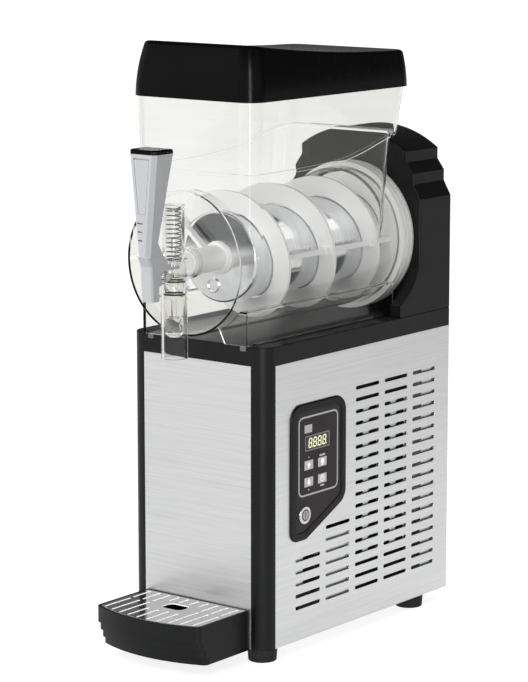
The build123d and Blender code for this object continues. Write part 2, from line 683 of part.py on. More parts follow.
def bowl_lid():
    """Hollow moulded lid that drops over the hopper's rim."""
    levels = (LID_BOTTOM, LID_BOTTOM + 24, LID_BOTTOM + 48, LID_BOTTOM + 78)
    lid = loft([lid_section(z, 0) for z in levels]) - lid_top_cut(0)
    crest = [
        edge for edge in lid.edges()
        if edge.center().Z > LID_BOTTOM + 40 and edge.length > 1
    ]
    lid = fillet(crest, 6.0)
    inner_levels = (HOPPER_TOP, LID_BOTTOM + 24, LID_BOTTOM + 48, LID_BOTTOM + 78)
    lid -= loft([lid_section(z, 7.5) for z in inner_levels]) - lid_top_cut(4)
    rim = rounded_rectangle(-101.8, 101.8, -9.8, 338.8, 22.8)
    return lid - prism_z(rim, LID_BOTTOM - 1, HOPPER_TOP)


# ---------------------------------------------------------------- tap
HANDLE_PIN = 3.0
HANDLE_NARROW = 9.8
HANDLE_WIDE = 22.6
HANDLE_TOP = 674.0
HANDLE_KINK = 543.0
HANDLE_NECK = 530.0
HANDLE_BOTTOM = 484.0
HANDLE_FRONT = (
    (HANDLE_BOTTOM, -100.0), (HANDLE_NECK, -102.0), (HANDLE_KINK, -108.0), (HANDLE_TOP, -108.6),
)
HANDLE_TOP_REAR = -72.5
GRIP_BEVEL = 5.3
STEM_BEVEL = 2.3
INSET_TOP = HANDLE_TOP - 5
INSET_BOTTOM = 597.5
INSET_MARGIN = 9.0
INSET_DEPTH = 2.4
GRIP_MARKS = ((586.0, 5.0), (575.0, 4.4), (564.0, 3.6))
TUBE_OUTER = 14.5
TUBE_BORE = 12.0
TUBE_STEP_Z = 534.0
TUBE_WIDE_BORE_TOP = 531.0
TUBE_SLOT = (TAP_BODY_TOP + 1.5, 550.0)
PISTON_RADIUS = TAP_BORE - 0.1
PISTON_Z = (482.0, 511.0)
SEAL_Z = (505.5, 488.5)
LOWER_GUIDE_Z = (432.0, 457.0)
COLLAR_Z = (527.0, 531.0)
FORK_Z = 523.5
FORK_HALF_THICKNESS = 2.0


def spring_tube():
    """Clear closed tube over the plunger, slotted in front for the handle's fork."""
    tube = rod_z(TAP_OUTER, TAP_BODY_TOP, TUBE_STEP_Z, 0, TAP_Y)
    tube += rod_z(TUBE_OUTER, TAP_BODY_TOP, SPRING_TUBE_TOP, 0, TAP_Y)
    tube -= rod_z(TAP_BORE, TAP_BODY_TOP - 1, TUBE_WIDE_BORE_TOP, 0, TAP_Y)
    tube -= rod_z(TUBE_BORE, TAP_BODY_TOP - 1, SPRING_TUBE_TOP - 3, 0, TAP_Y)
    return tube - block((-10, 10), (TAP_Y - 20, TAP_Y), TUBE_SLOT)


def tap_plunger():
    """Piston with two seal grooves, a lower guide and an upper collar that the fork lifts."""
    piston = rod_z(PISTON_RADIUS, *PISTON_Z, 0, TAP_Y)
    for z in SEAL_Z:
        groove = rod_z(TAP_BORE, z - 1.3, z + 1.3, 0, TAP_Y) - rod_z(12.2, z - 2, z + 2, 0, TAP_Y)
        piston -= groove
    stem = rod_z(4.0, LOWER_GUIDE_Z[0], 562, 0, TAP_Y)
    guide = rod_z(11.5, *LOWER_GUIDE_Z, 0, TAP_Y)
    guide = chamfer(guide.edges().sort_by(Axis.Z)[0], 4.0)
    collar = rod_z(11.0, *COLLAR_Z, 0, TAP_Y)
    return piston + stem + guide + collar


def plunger_seals():
    """Two rubber rings in the piston's grooves."""
    rings = []
    for z in SEAL_Z:
        ring = rod_z(TAP_BORE - 0.05, z - 1.1, z + 1.1, 0, TAP_Y) - rod_z(12.3, z - 2, z + 2, 0, TAP_Y)
        rings.append(ring)
    return rings


def tap_spring():
    """Steel compression spring between the plunger's collar and the tube's closed end."""
    wire, radius, pitch = 0.8, 9.4, 5.3
    low = COLLAR_Z[1] + wire + 0.2
    high = SPRING_TUBE_TOP - 3 - wire - 0.2
    path = Helix(pitch=pitch, height=high - low, radius=radius)
    section = Plane(origin=path @ 0, z_dir=path % 0) * Circle(wire)
    return Pos(0, TAP_Y, low) * sweep(section, path, is_frenet=True)


def front_y(z):
    """y of the handle's front face at height z."""
    for (low, y_low), (high, y_high) in zip(HANDLE_FRONT, HANDLE_FRONT[1:]):
        if z <= high:
            return y_low + (y_high - y_low) * (z - low) / (high - low)
    return HANDLE_FRONT[-1][1]


def handle_face(inset, top, bottom):
    """Front view of the handle in (x, z): a straight stem that flares above the kink."""
    slope = (HANDLE_WIDE - HANDLE_NARROW) / (HANDLE_TOP - HANDLE_KINK)

    def half_width(z):
        return HANDLE_NARROW + slope * max(z - HANDLE_KINK, 0.0) - inset

    heights = sorted({bottom, max(bottom, HANDLE_KINK), top})
    right = [(half_width(z), z) for z in heights]
    left = [(-x, z) for x, z in reversed(right)]
    return outline_of(*right, *left)


def front_strip(outside, inside, top, bottom):
    """Slab along the grip's front face, from `outside` in front of it to `inside` behind it."""
    return prism_x(outline_of(
        (front_y(top) - outside, top), (front_y(bottom) - outside, bottom),
        (front_y(bottom) + inside, bottom), (front_y(top) + inside, top),
    ), -30, 30)


def handle_blank():
    """Handle without its trim: a narrow stem, a sloping neck and a flared grip, all bevelled."""
    side = outline_of(
        *[(y, z) for z, y in reversed(HANDLE_FRONT)],
        (-86, HANDLE_BOTTOM), (-86, 503), (PIVOT_Y + 3, 506.5), (-68, PIVOT_Z), (-68, 532),
        (-80, 546), (-90, 560), (-84.3, 596), (-78, 640), (HANDLE_TOP_REAR, HANDLE_TOP),
    )
    whole = prism_x(side, -30, 30) & prism_y(handle_face(0, HANDLE_TOP, HANDLE_BOTTOM), -130, -40)
    handle = Part()
    for low, high, bevel in (
        (HANDLE_BOTTOM, HANDLE_NECK, STEM_BEVEL),
        (HANDLE_NECK, HANDLE_KINK, STEM_BEVEL),
        (HANDLE_KINK, HANDLE_TOP, GRIP_BEVEL),
    ):
        length = whole & block((-30, 30), (-130, -40), (low, high))
        front_corners = length.edges().filter_by(
            lambda edge: abs(edge.center().Y - front_y(edge.center().Z)) < 0.5
            and abs(edge.center().X) > HANDLE_NARROW - 1
        )
        handle += chamfer(front_corners, bevel)
    return handle


def tap_handle():
    """Lever with a flared grip, a pivot boss and a fork that reaches under the plunger's collar."""
    pocket = front_strip(1, INSET_DEPTH, INSET_TOP, INSET_BOTTOM)
    pocket &= prism_y(handle_face(INSET_MARGIN, INSET_TOP, INSET_BOTTOM), -130, -40)
    handle = handle_blank() - pocket
    for z, half in GRIP_MARKS:
        handle -= block((-3 - half, half - 3), (front_y(z) - 2, front_y(z) + 4), (z - 1.2, z + 1.2))
    prong = block((4.6, 8.0), (-70, TAP_Y + 2),
                  (FORK_Z - FORK_HALF_THICKNESS, FORK_Z + FORK_HALF_THICKNESS))
    handle += both_sides(prong)
    return handle - rod_x(HANDLE_PIN + 0.02, -30, 30, PIVOT_Y, PIVOT_Z)


def handle_cap():
    """Dark cap that closes the top of the handle."""
    front = front_y(HANDLE_TOP)
    right = [
        (HANDLE_WIDE, HANDLE_TOP_REAR), (HANDLE_WIDE, front + GRIP_BEVEL),
        (HANDLE_WIDE - GRIP_BEVEL, front),
    ]
    left = [(-x, y) for x, y in reversed(right)]
    cap = prism_z(outline_of(*right, *left), HANDLE_TOP, HANDLE_TOP + 6)
    return fillet(cap.faces().sort_by(Axis.Z)[-1].edges(), 2.5)


def handle_inset():
    """Trim plate that sits in the pocket of the grip's front, with a wider gap at its top."""
    top, bottom = INSET_TOP - 2.0, INSET_BOTTOM + 0.6
    strip = front_strip(-0.2, INSET_DEPTH - 0.1, top, bottom)
    return strip & prism_y(handle_face(INSET_MARGIN + 0.9, top, bottom), -130, -40)


def handle_pin():
    half = HANDLE_NARROW + 4.6
    pin = rod_x(HANDLE_PIN, -half, half, PIVOT_Y, PIVOT_Z)
    head = rod_x(HANDLE_PIN + 1.6, half, half + 1.8, PIVOT_Y, PIVOT_Z)
    return pin + head


# ---------------------------------------------------------------- drip tray
STEP_BACK = 4.5
TRAY_LEVELS = (16.0, 26.0, 37.0, 48.0, 70.0)
GRID_SHEET = 1.5
GRID_PITCH = 16.7
GRID_SLOT = 3.6
TRAY_RIM = 3.5
TRAY_GAP = 0.2


def tray_outline(inset, step_back):
    """Flat sides and a bowed front, drawn in (x, y); step_back moves only the front face."""
    half = TRAY_HALF_WIDTH - inset
    back = -TRAY_GAP - inset
    side = inset + step_back - TRAY_SIDE_DEPTH
    middle = inset + step_back - TRAY_MID_DEPTH
    walls = Polyline((half, side), (half, back), (-half, back), (-half, side))
    face = make_face(walls + ThreePointArc((-half, side), (0, middle), (half, side)))
    front = face.vertices().sort_by(Axis.Y)[:2]
    return fillet(front, 8.0)


def drip_tray():
    """Moulded tray whose front steps back towards the counter; two tongues hold it in the panel."""
    steps = list(zip(TRAY_LEVELS[:-1], TRAY_LEVELS[1:]))
    tray = Part()
    for number, (low, high) in enumerate(steps):
        back_off = STEP_BACK * (len(steps) - 1 - number)
        tray += prism_z(tray_outline(0, back_off), low, high)
    tray -= prism_z(tray_outline(TRAY_RIM + 3, 3 * STEP_BACK), 20, TRAY_TOP + 1)
    tray -= prism_z(tray_outline(TRAY_RIM + 3, 0), TRAY_LEVELS[3] + 3, TRAY_TOP + 1)
    tray -= prism_z(tray_outline(TRAY_RIM, 0), TRAY_TOP - GRID_SHEET - 0.1, TRAY_TOP + 1)
    tongue = block(
        (TONGUE_X - TONGUE_HALF_WIDTH, TONGUE_X + TONGUE_HALF_WIDTH), (-3, TONGUE_LENGTH), TONGUE_Z
    )
    return tray + both_sides(tongue)


def grid_slot(x, y0, y1):
    """Round-ended drain slot between y0 and y1."""
    return Pos(x, (y0 + y1) / 2) * Rot(Z=90) * SlotOverall(y1 - y0, GRID_SLOT)


def drip_grid():
    """Pressed steel grid: long slots that follow the bowed front, a cup hole in the middle."""
    bow = TRAY_MID_DEPTH - TRAY_SIDE_DEPTH
    outline = tray_outline(TRAY_RIM + 0.3, 0)
    for column in range(10):
        x = (column - 4.5) * GRID_PITCH
        front = 7 - TRAY_MID_DEPTH + bow * (x / TRAY_HALF_WIDTH) ** 2
        near_hole = abs(x) < 2 * GRID_PITCH
        outline -= grid_slot(x, front, -71 if near_hole else -50)
        outline -= grid_slot(x, -28 if near_hole else -43.5, -8.5)
    outline -= Pos(0, -46) * RectangleRounded(34, 24, 8)
    return prism_z(outline, TRAY_TOP - GRID_SHEET, TRAY_TOP)


# ---------------------------------------------------------------- control panel
BEZEL_BAND = 11.0
BEZEL_FACE_X = 117.0
MEMBRANE_X = (114.6, 116.0)
BUTTON_SIZE = (18.4, 12.4)
BUTTON_GAP = 0.15
BUTTON_X = (112.8, 116.4)
BUTTON_PLACES = {
    "button_up": (91.2, 253.2),
    "button_down": (91.2, 230.3),
    "button_light": (121.0, 252.8),
    "button_timer": (121.0, 230.3),
}
DISPLAY_CENTRE = (110.0, 282.5)
DISPLAY_SIZE = (50.0, 17.0)
LOCK_CENTRE = (82.2, 187.0)
LOCK_FLANGE = 12.2
LOCK_BARREL = 6.6
BOARD_X = (102.0, 103.6)


def control_outline():
    """Control panel outline in (y, z): a tall panel with its lower rear corner cut away."""
    face = outline_of((52.6, 337), (174, 337), (174, 194.8), (85.8, 153), (52.6, 153))
    corners = face.vertices()
    rounded = fillet(corners.filter_by(lambda corner: corner.Y > 190), 22.0)
    foot = rounded.vertices().sort_by(Axis.Y)[:2]
    return fillet(foot, 14.0)


def control_bezel():
    """Raised frame round the control panel, rounded at its outer edge."""
    plate = prism_x(control_outline(), HALF_WIDTH, BEZEL_FACE_X)
    plate = fillet(plate.faces().sort_by(Axis.X)[-1].edges(), 2.0)
    window = offset(control_outline(), -BEZEL_BAND)
    return plate - prism_x(window, HALF_WIDTH - 1, BEZEL_FACE_X + 1)


def control_membrane():
    """Dark front plate in the bezel with openings for the display, four buttons and the lock."""
    outline = offset(control_outline(), -(BEZEL_BAND + 0.15))
    for place in BUTTON_PLACES.values():
        outline -= Pos(*place) * Rectangle(
            BUTTON_SIZE[0] + 2 * BUTTON_GAP, BUTTON_SIZE[1] + 2 * BUTTON_GAP
        )
    outline -= Pos(*DISPLAY_CENTRE) * Rectangle(*DISPLAY_SIZE)
    outline -= Pos(*LOCK_CENTRE) * Circle(9.2)
    return prism_x(outline, *MEMBRANE_X)


def display_lens():
    outline = Pos(*DISPLAY_CENTRE) * Rectangle(DISPLAY_SIZE[0] - 0.2, DISPLAY_SIZE[1] - 0.2)
    return prism_x(outline, MEMBRANE_X[0] + 0.2, MEMBRANE_X[1])


def display_module():
    outline = Pos(*DISPLAY_CENTRE) * Rectangle(DISPLAY_SIZE[0] - 2, DISPLAY_SIZE[1] - 2)
    return prism_x(outline, BOARD_X[1], MEMBRANE_X[0] - 0.2)


def control_board():
    """Circuit board behind the panel with a switch under each button."""
    board = prism_x(rectangle(68, 160, 205, 322), *BOARD_X)
    for y, z in BUTTON_PLACES.values():
        board += block((BOARD_X[1], BUTTON_X[0] - 0.7), (y - 3, y + 3), (z - 3, z + 3))
    return board


def push_button(place):
    """Square key that moves straight into the panel."""
    key = prism_x(Pos(*place) * Rectangle(*BUTTON_SIZE), *BUTTON_X)
    return fillet(key.faces().sort_by(Axis.X)[-1].edges(), 0.3)


def key_lock_body():
    """Flanged lock case through the front plate."""
    flange = rod_x(LOCK_FLANGE, MEMBRANE_X[1], LOCK_FACE_X - 0.2, *LOCK_CENTRE)
    flange = fillet(flange.edges().sort_by(Axis.X)[-1], 1.2)
    case = flange + rod_x(9.0, 96, MEMBRANE_X[1], *LOCK_CENTRE)
    return case - rod_x(LOCK_BARREL + RUNNING_GAP, 98, LOCK_FACE_X + 1, *LOCK_CENTRE)


def key_lock_barrel():
    """Turning barrel with its keyway."""
    y, z = LOCK_CENTRE
    barrel = rod_x(LOCK_BARREL, 98.5, LOCK_FACE_X, y, z)
    return barrel - block((LOCK_FACE_X - 9, LOCK_FACE_X + 1), (y - 0.8, y + 0.8), (z - 4, z + 4))


# ---------------------------------------------------------------- refrigeration
COMPRESSOR_X = -30.0
COMPRESSOR_Y = 112.0
COMPRESSOR_RADIUS = 60.0
COMPRESSOR_Z = (34.0, 188.0)
MOUNT_HALF = (62.0, 50.0)

CONDENSER_X = (84.0, 108.0)
CONDENSER_Y = (198.0, 322.0)
CONDENSER_Z = (50.0, 346.0)
GUARD_X = (110.05, 111.05)
GUARD_Z = (103.0, 315.0)
GUARD_CENTRE = (242.3, 208.0)
GUARD_PITCH = (32.0, VENT_ROW_PITCH)
GUARD_OPEN = 0.7
FAN_Y = 260.0
FAN_Z = 190.0
FAN_RADIUS = 57.0
FAN_X = (60.0, 76.0)
COLLAR_RADIUS = 60.0
FAN_MOTOR_RADIUS = 25.0
FAN_MOTOR_X = (20.0, 58.0)
DRIER_PLACE = (40.0, 345.0)
DRIER_Z = (120.0, 200.0)
PIPE_Z_TOP = 466.0


def compressor():
    """Hermetic compressor: welded domed shell on a foot plate, with its terminal box."""
    x, y = COMPRESSOR_X, COMPRESSOR_Y
    shell = rod_z(COMPRESSOR_RADIUS, *COMPRESSOR_Z, x, y)
    shell = fillet(shell.edges().sort_by(Axis.Z)[-1], 34.0)
    shell = fillet(shell.edges().sort_by(Axis.Z)[0], 12.0)
    weld = rod_z(COMPRESSOR_RADIUS + 3.5, 108, 112, x, y)
    wide, deep = MOUNT_HALF
    plate = prism_z(Pos(x, y) * RectangleRounded(2 * wide + 24, 2 * deep + 24, 12), 33, 36)
    for dx in (-wide, wide):
        for dy in (-deep, deep):
            plate -= rod_z(6.2, 32, 37, x + dx, y + dy)
    box = block((x + 52, x + 78), (y - 18, y + 18), (96, 140))
    return shell + weld + plate + fillet(box.edges().filter_by(Axis.X), 4.0)


def compressor_mounts():
    """Rubber grommets under the compressor's foot plate."""
    floor = FOOT_HEIGHT + SHEET
    wide, deep = MOUNT_HALF
    mounts = []
    for dx in (-wide, wide):
        for dy in (-deep, deep):
            x, y = COMPRESSOR_X + dx, COMPRESSOR_Y + dy
            mounts.append(rod_z(11, floor, 33, x, y) + rod_z(6, 33, 39, x, y))
    return mounts


def condenser():
    """Fin block between two end plates, with the return bends of its tubes."""
    fins = block(CONDENSER_X, (CONDENSER_Y[0] + 4, CONDENSER_Y[1] - 4), CONDENSER_Z)
    groove_pitch = 8.0
    count = int((CONDENSER_Z[1] - CONDENSER_Z[0]) / groove_pitch)
    for number in range(count):
        z = CONDENSER_Z[0] + groove_pitch * (number + 0.5)
        fins -= block(
            (CONDENSER_X[1] - 3, CONDENSER_X[1] + 1), (CONDENSER_Y[0] + 5, CONDENSER_Y[1] - 5),
            (z - 2.5, z + 2.5),
        )
    plates = [
        block((CONDENSER_X[0] - 2, CONDENSER_X[1] + 2), (y, y + 4), CONDENSER_Z)
        for y in (CONDENSER_Y[0], CONDENSER_Y[1] - 4)
    ]
    return fins + plates


def condenser_guard():
    """Aluminium mesh of diamond openings that stands over the condenser's fins."""
    guard = rectangle(CONDENSER_Y[0], CONDENSER_Y[1], *GUARD_Z)
    columns = range(-2, 3)
    rows = range(-7, 7)
    middle_y, middle_z = GUARD_CENTRE
    half_y = GUARD_PITCH[0] / 2 * GUARD_OPEN
    half_z = GUARD_PITCH[1] / 2 * GUARD_OPEN
    diamond = outline_of((-half_y, 0), (0, -half_z), (half_y, 0), (0, half_z))
    openings = []
    for row in rows:
        for column in columns:
            y = middle_y + GUARD_PITCH[0] * column
            z = middle_z + GUARD_PITCH[1] * row
            openings.append(Pos(y, z) * diamond)
            openings.append(Pos(y + GUARD_PITCH[0] / 2, z + GUARD_PITCH[1] / 2) * diamond)
    inside = rectangle(
        CONDENSER_Y[0] + 4, CONDENSER_Y[1] - 4, GUARD_Z[0] + 3, GUARD_Z[1] - 3
    )
    guard -= (Sketch() + openings) & inside
    return prism_x(guard, *GUARD_X)


def fan_shroud():
    """Sheet across the condenser with the fan's collar and the motor's four arms."""
    back = CONDENSER_X[0] - 2.1
    sheet = block((back - SHEET, back), CONDENSER_Y, CONDENSER_Z)
    sheet += rod_x(COLLAR_RADIUS + 2, 44, back, FAN_Y, FAN_Z)
    sheet -= rod_x(COLLAR_RADIUS, 43, back + 1, FAN_Y, FAN_Z)
    arms = rod_x(FAN_MOTOR_RADIUS + 3, 44, 50, FAN_Y, FAN_Z)
    reach = COLLAR_RADIUS + 1
    arms += block((44, 50), (FAN_Y - reach, FAN_Y + reach), (FAN_Z - 4, FAN_Z + 4))
    arms += block((44, 50), (FAN_Y - 4, FAN_Y + 4), (FAN_Z - reach, FAN_Z + reach))
    return sheet + (arms - rod_x(FAN_MOTOR_RADIUS + 0.1, 43, 51, FAN_Y, FAN_Z))


def fan_motor():
    can = rod_x(FAN_MOTOR_RADIUS, *FAN_MOTOR_X, FAN_Y, FAN_Z)
    can = fillet(can.edges().sort_by(Axis.X)[0], 5.0)
    return can - rod_x(3 + RUNNING_GAP, 30, FAN_MOTOR_X[1] + 1, FAN_Y, FAN_Z)


def fan_blade():
    """Five pitched blades on a hub, with the stub shaft that runs into the motor."""
    fan = rod_x(14, *FAN_X, FAN_Y, FAN_Z) + rod_x(3, 32, FAN_X[0] + 1, FAN_Y, FAN_Z)
    blade = Pos(0, 0, 34) * Rot(Z=35) * Box(1.6, 26, 44)
    blade &= Cylinder(FAN_RADIUS, 200, rotation=(0, 90, 0))
    blade &= block((-7.5, 7.5), (-60, 60), (10, FAN_RADIUS - 1))
    centre = Pos((FAN_X[0] + FAN_X[1]) / 2, FAN_Y, FAN_Z)
    for number in range(5):
        fan += centre * Rot(X=72 * number) * blade
    return fan


def filter_drier():
    body = rod_z(10, *DRIER_Z, *DRIER_PLACE)
    return fillet(body.edges(), 4.0)


def bent_pipe(radius, bend, *points):
    """Round tube along straight runs joined by bends of one radius."""
    path = FilletPolyline(*points, radius=bend)
    section = Plane(origin=path @ 0, z_dir=path % 0) * Circle(radius)
    return sweep(section, path, is_frenet=True)


def discharge_pipe():
    """Hot gas from the compressor's dome to the condenser."""
    x = (CONDENSER_X[0] + CONDENSER_X[1]) / 2
    start = (COMPRESSOR_X - 18, COMPRESSOR_Y, COMPRESSOR_Z[1] + 0.1)
    return bent_pipe(
        3.2, 14, start, (start[0], start[1], 240), (start[0], 178, 240), (x, 178, 240),
        (x, CONDENSER_Y[0] - 0.1, 240),
    )


def suction_pipe():
    """Cold gas from the drum's rear end down to the compressor."""
    start = (-20, DRUM_FLANGE_Y[1] + 0.1, PIPE_Z_TOP)
    return bent_pipe(
        4.0, 14, start, (start[0], 384, PIPE_Z_TOP), (start[0], 384, 214),
        (start[0], COMPRESSOR_Y, 214), (start[0], COMPRESSOR_Y, COMPRESSOR_Z[1] + 0.1),
    )


def liquid_pipe():
    """Liquid line from the condenser to the drier, and the thin line on to the drum."""
    x = (CONDENSER_X[0] + CONDENSER_X[1]) / 2
    drier_x, drier_y = DRIER_PLACE
    to_drier = bent_pipe(
        2.5, 10, (x, CONDENSER_Y[1] + 0.1, 72), (x, drier_y, 72), (drier_x, drier_y, 72),
        (drier_x, drier_y, DRIER_Z[0] - 0.1),
    )
    to_drum = bent_pipe(
        1.6, 8, (drier_x, drier_y, DRIER_Z[1] + 0.1), (drier_x, drier_y, 330), (20, 384, 330),
        (20, 384, PIPE_Z_TOP), (20, DRUM_FLANGE_Y[1] + 0.1, PIPE_Z_TOP),
    )
    return [to_drier, to_drum]


# ---------------------------------------------------------------- writing the files
def save(name, shape):
    """Write one node; a list is a group of separate solids of the same kind."""
    if isinstance(shape, list):
        shape = Compound(children=shape)
    export_step(TO_ORIGIN * shape, f"parts/{name}.step")


PIECES = {
    "base_pan": base_pan,
    "rubber_feet": rubber_feet,
    "front_column_left": lambda: front_column(-1),
    "front_column_right": lambda: front_column(1),
    "front_panel": front_panel,
    "side_panel_left": lambda: side_panel(-1),
    "side_panel_right": lambda: side_panel(1),
    "rear_panel": rear_panel,
    "panel_screws": panel_screws,
    "mains_inlet": mains_inlet,
    "top_deck": top_deck,
    "deck_plugs": deck_plugs,
    "rear_housing": rear_housing,
    "housing_cover": housing_cover,
    "evaporator_drum": evaporator_drum,
    "evaporator_coil": evaporator_coil,
    "shaft_seal": shaft_seal,
    "front_bush": front_bush,
    "drive_shaft": drive_shaft,
    "auger": auger,
    "drive_gear": drive_gear,
    "motor_pinion": motor_pinion,
    "gear_case": gear_case,
    "gear_case_cover": gear_case_cover,
    "gear_motor": gear_motor,
    "bowl": bowl,
    "bowl_seal": bowl_seal,
    "bowl_lid": bowl_lid,
    "spring_tube": spring_tube,
    "tap_plunger": tap_plunger,
    "plunger_seals": plunger_seals,
    "tap_spring": tap_spring,
    "tap_handle": tap_handle,
    "handle_cap": handle_cap,
    "handle_inset": handle_inset,
    "handle_pin": handle_pin,
    "drip_tray": drip_tray,
    "drip_grid": drip_grid,
    "control_bezel": control_bezel,
    "control_membrane": control_membrane,
    "display_lens": display_lens,
    "display_module": display_module,
    "control_board": control_board,
    "key_lock_body": key_lock_body,
    "key_lock_barrel": key_lock_barrel,
    "compressor": compressor,
    "compressor_mounts": compressor_mounts,
    "condenser": condenser,
    "condenser_guard": condenser_guard,
    "fan_shroud": fan_shroud,
    "fan_motor": fan_motor,
    "fan_blade": fan_blade,
    "filter_drier": filter_drier,
    "discharge_pipe": discharge_pipe,
    "suction_pipe": suction_pipe,
    "liquid_pipe": liquid_pipe,
}

os.makedirs("parts", exist_ok=True)

for node_name, make in PIECES.items():
    save(node_name, make())
for node_name, button_place in BUTTON_PLACES.items():
    save(node_name, push_button(button_place))
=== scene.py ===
import math

import bmesh
import bpy
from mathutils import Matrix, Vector


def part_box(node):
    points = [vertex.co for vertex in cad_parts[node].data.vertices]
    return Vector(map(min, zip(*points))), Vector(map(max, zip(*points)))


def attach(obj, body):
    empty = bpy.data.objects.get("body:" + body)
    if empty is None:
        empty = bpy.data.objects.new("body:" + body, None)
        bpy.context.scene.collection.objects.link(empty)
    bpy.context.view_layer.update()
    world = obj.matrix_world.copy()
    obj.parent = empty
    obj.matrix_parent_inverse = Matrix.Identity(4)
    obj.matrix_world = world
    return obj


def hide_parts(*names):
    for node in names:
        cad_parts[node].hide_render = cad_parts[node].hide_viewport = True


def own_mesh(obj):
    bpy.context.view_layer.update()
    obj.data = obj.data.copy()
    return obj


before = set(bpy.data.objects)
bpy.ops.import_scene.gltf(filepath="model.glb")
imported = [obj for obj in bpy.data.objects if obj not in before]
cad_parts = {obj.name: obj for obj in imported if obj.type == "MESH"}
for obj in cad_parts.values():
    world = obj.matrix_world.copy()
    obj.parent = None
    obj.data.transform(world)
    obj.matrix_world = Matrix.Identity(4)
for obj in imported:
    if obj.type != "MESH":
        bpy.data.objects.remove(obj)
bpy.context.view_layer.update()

# Looks of a single-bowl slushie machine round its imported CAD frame, in metres: the tap faces -y,
# the control panel faces +x and the feet stand on z = 0. Every finish is a node material named
# after a material slot of the record, and the small printed and wound pieces are built here.

MM = 0.001
SHADE_LINE = 0.538  # height over the feet at which the shade on the drum's front starts
BARREL_EDGE = (5.4 * MM, 6.4 * MM)  # distances from the lock's axis, as are the two below
# The two below bound the lock's dark ring, which is painted shade.
SHADED_RING_INNER = (5.6 * MM, 6.4 * MM)
SHADED_RING_OUTER = (7.6 * MM, 8.4 * MM)


def middle(node):
    """Centre of a node's box at rest."""
    low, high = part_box(node)
    return (low + high) / 2


# ---------------------------------------------------------------- material helpers
def tone(red, green, blue):
    """Linear colour of an sRGB colour given as 0 to 255."""
    def linear(value):
        value /= 255
        return value / 12.92 if value <= 0.04045 else ((value + 0.055) / 1.055) ** 2.4
    return (linear(red), linear(green), linear(blue), 1.0)


class Look:
    """A material being built: its nodes, its main shader and its coordinates in the row frame."""

    def __init__(self, name, colour, roughness, **inputs):
        self.material = bpy.data.materials.new(name)
        self.material.use_nodes = True
        self.tree = self.material.node_tree
        self.shader = self.tree.nodes["Principled BSDF"]
        self.output = self.tree.nodes["Material Output"]
        self.place = self.add("ShaderNodeTexCoord").outputs["Object"]
        self.set(**{"Base Color": colour, "Roughness": roughness, **inputs})

    def add(self, kind, inputs=None, **settings):
        """Add a node; an input is a number, a colour or another node's output."""
        made = self.tree.nodes.new(kind)
        for key, value in settings.items():
            setattr(made, key, value)
        for key, value in (inputs or {}).items():
            self.plug(made.inputs[key], value)
        return made

    def plug(self, socket, value):
        """Link a node's output to a socket, or set the socket to a plain value."""
        if isinstance(value, bpy.types.NodeSocket):
            self.tree.links.new(value, socket)
        else:
            socket.default_value = value

    def set(self, **inputs):
        """Plug values into the main shader's inputs by name."""
        for key, value in inputs.items():
            self.plug(self.shader.inputs[key], value)

    def stretched(self, x, y, z):
        """Coordinates scaled along each axis, in features per metre."""
        return self.add("ShaderNodeMapping", {"Vector": self.place, "Scale": (x, y, z)}).outputs[0]

    def noise(self, scale, detail=3.0, rough=0.5, where=None):
        """Noise between 0 and 1; scale is features per metre unless coordinates are given."""
        inputs = {
            "Vector": where or self.place, "Scale": scale, "Detail": detail, "Roughness": rough,
        }
        return self.add("ShaderNodeTexNoise", inputs).outputs["Fac"]

    def spread(self, value, low, high, start=0.3, end=0.7):
        """Map a value from start..end to low..high."""
        inputs = {
            "Value": value, "From Min": start, "From Max": end, "To Min": low, "To Max": high,
        }
        return self.add("ShaderNodeMapRange", inputs).outputs["Result"]

    def math(self, operation, first, second=0.0):
        """Arithmetic on two values."""
        made = self.add("ShaderNodeMath", operation=operation)
        self.plug(made.inputs[0], first)
        self.plug(made.inputs[1], second)
        return made.outputs[0]

    def blend(self, factor, first, second):
        """Mix two colours."""
        made = self.add("ShaderNodeMix", data_type="RGBA")
        self.plug(made.inputs["Factor"], factor)
        self.plug(made.inputs[6], first)
        self.plug(made.inputs[7], second)
        return made.outputs[2]

    def edges(self, width):
        """Mask that rises towards 1 on sharp outer edges, within width metres of them."""
        rounded = self.add("ShaderNodeBevel", {"Radius": width}, samples=6).outputs[0]
        plain = self.add("ShaderNodeNewGeometry").outputs["Normal"]
        dot = self.add("ShaderNodeVectorMath", operation="DOT_PRODUCT")
        self.plug(dot.inputs[0], rounded)
        self.plug(dot.inputs[1], plain)
        return self.spread(dot.outputs["Value"], 1.0, 0.0, 0.8, 1.0)

    def relief(self, height, distance, strength=1.0, soften=0.0):
        """Bump from a height, over edges softened by a small radius."""
        inputs = {"Height": height, "Distance": distance, "Strength": strength}
        if soften:
            inputs["Normal"] = self.add("ShaderNodeBevel", {"Radius": soften}, samples=4).outputs[0]
        self.set(Normal=self.add("ShaderNodeBump", inputs).outputs[0])


# ---------------------------------------------------------------- finishes
def brushed_sheet(name, light, dark, roughness, streak=2200.0):
    """Sheet steel brushed along the horizontal, with fine and broad streaks and faint smudges."""
    look = Look(name, light, roughness, Metallic=1.0)
    fine = look.noise(1.0, 4.0, 0.6, look.stretched(16, 16, streak))
    broad = look.noise(1.0, 3.0, 0.5, look.stretched(5, 5, streak / 6))
    smudge = look.noise(7.0, 3.0)
    grain = look.math("ADD", look.math("MULTIPLY", fine, 0.65), look.math("MULTIPLY", broad, 0.35))
    look.set(**{
        "Base Color": look.blend(look.spread(grain, 0, 1, 0.36, 0.62), dark, light),
        "Roughness": look.math(
            "ADD", look.spread(grain, roughness - 0.03, roughness + 0.05),
            look.spread(smudge, -0.03, 0.05),
        ),
        "Anisotropic": 0.6,
        "Tangent": look.add("ShaderNodeTangent", direction_type="RADIAL", axis="Z").outputs[0],
    })
    look.relief(grain, 0.03 * MM, 0.18, 0.4 * MM)
    return look.material


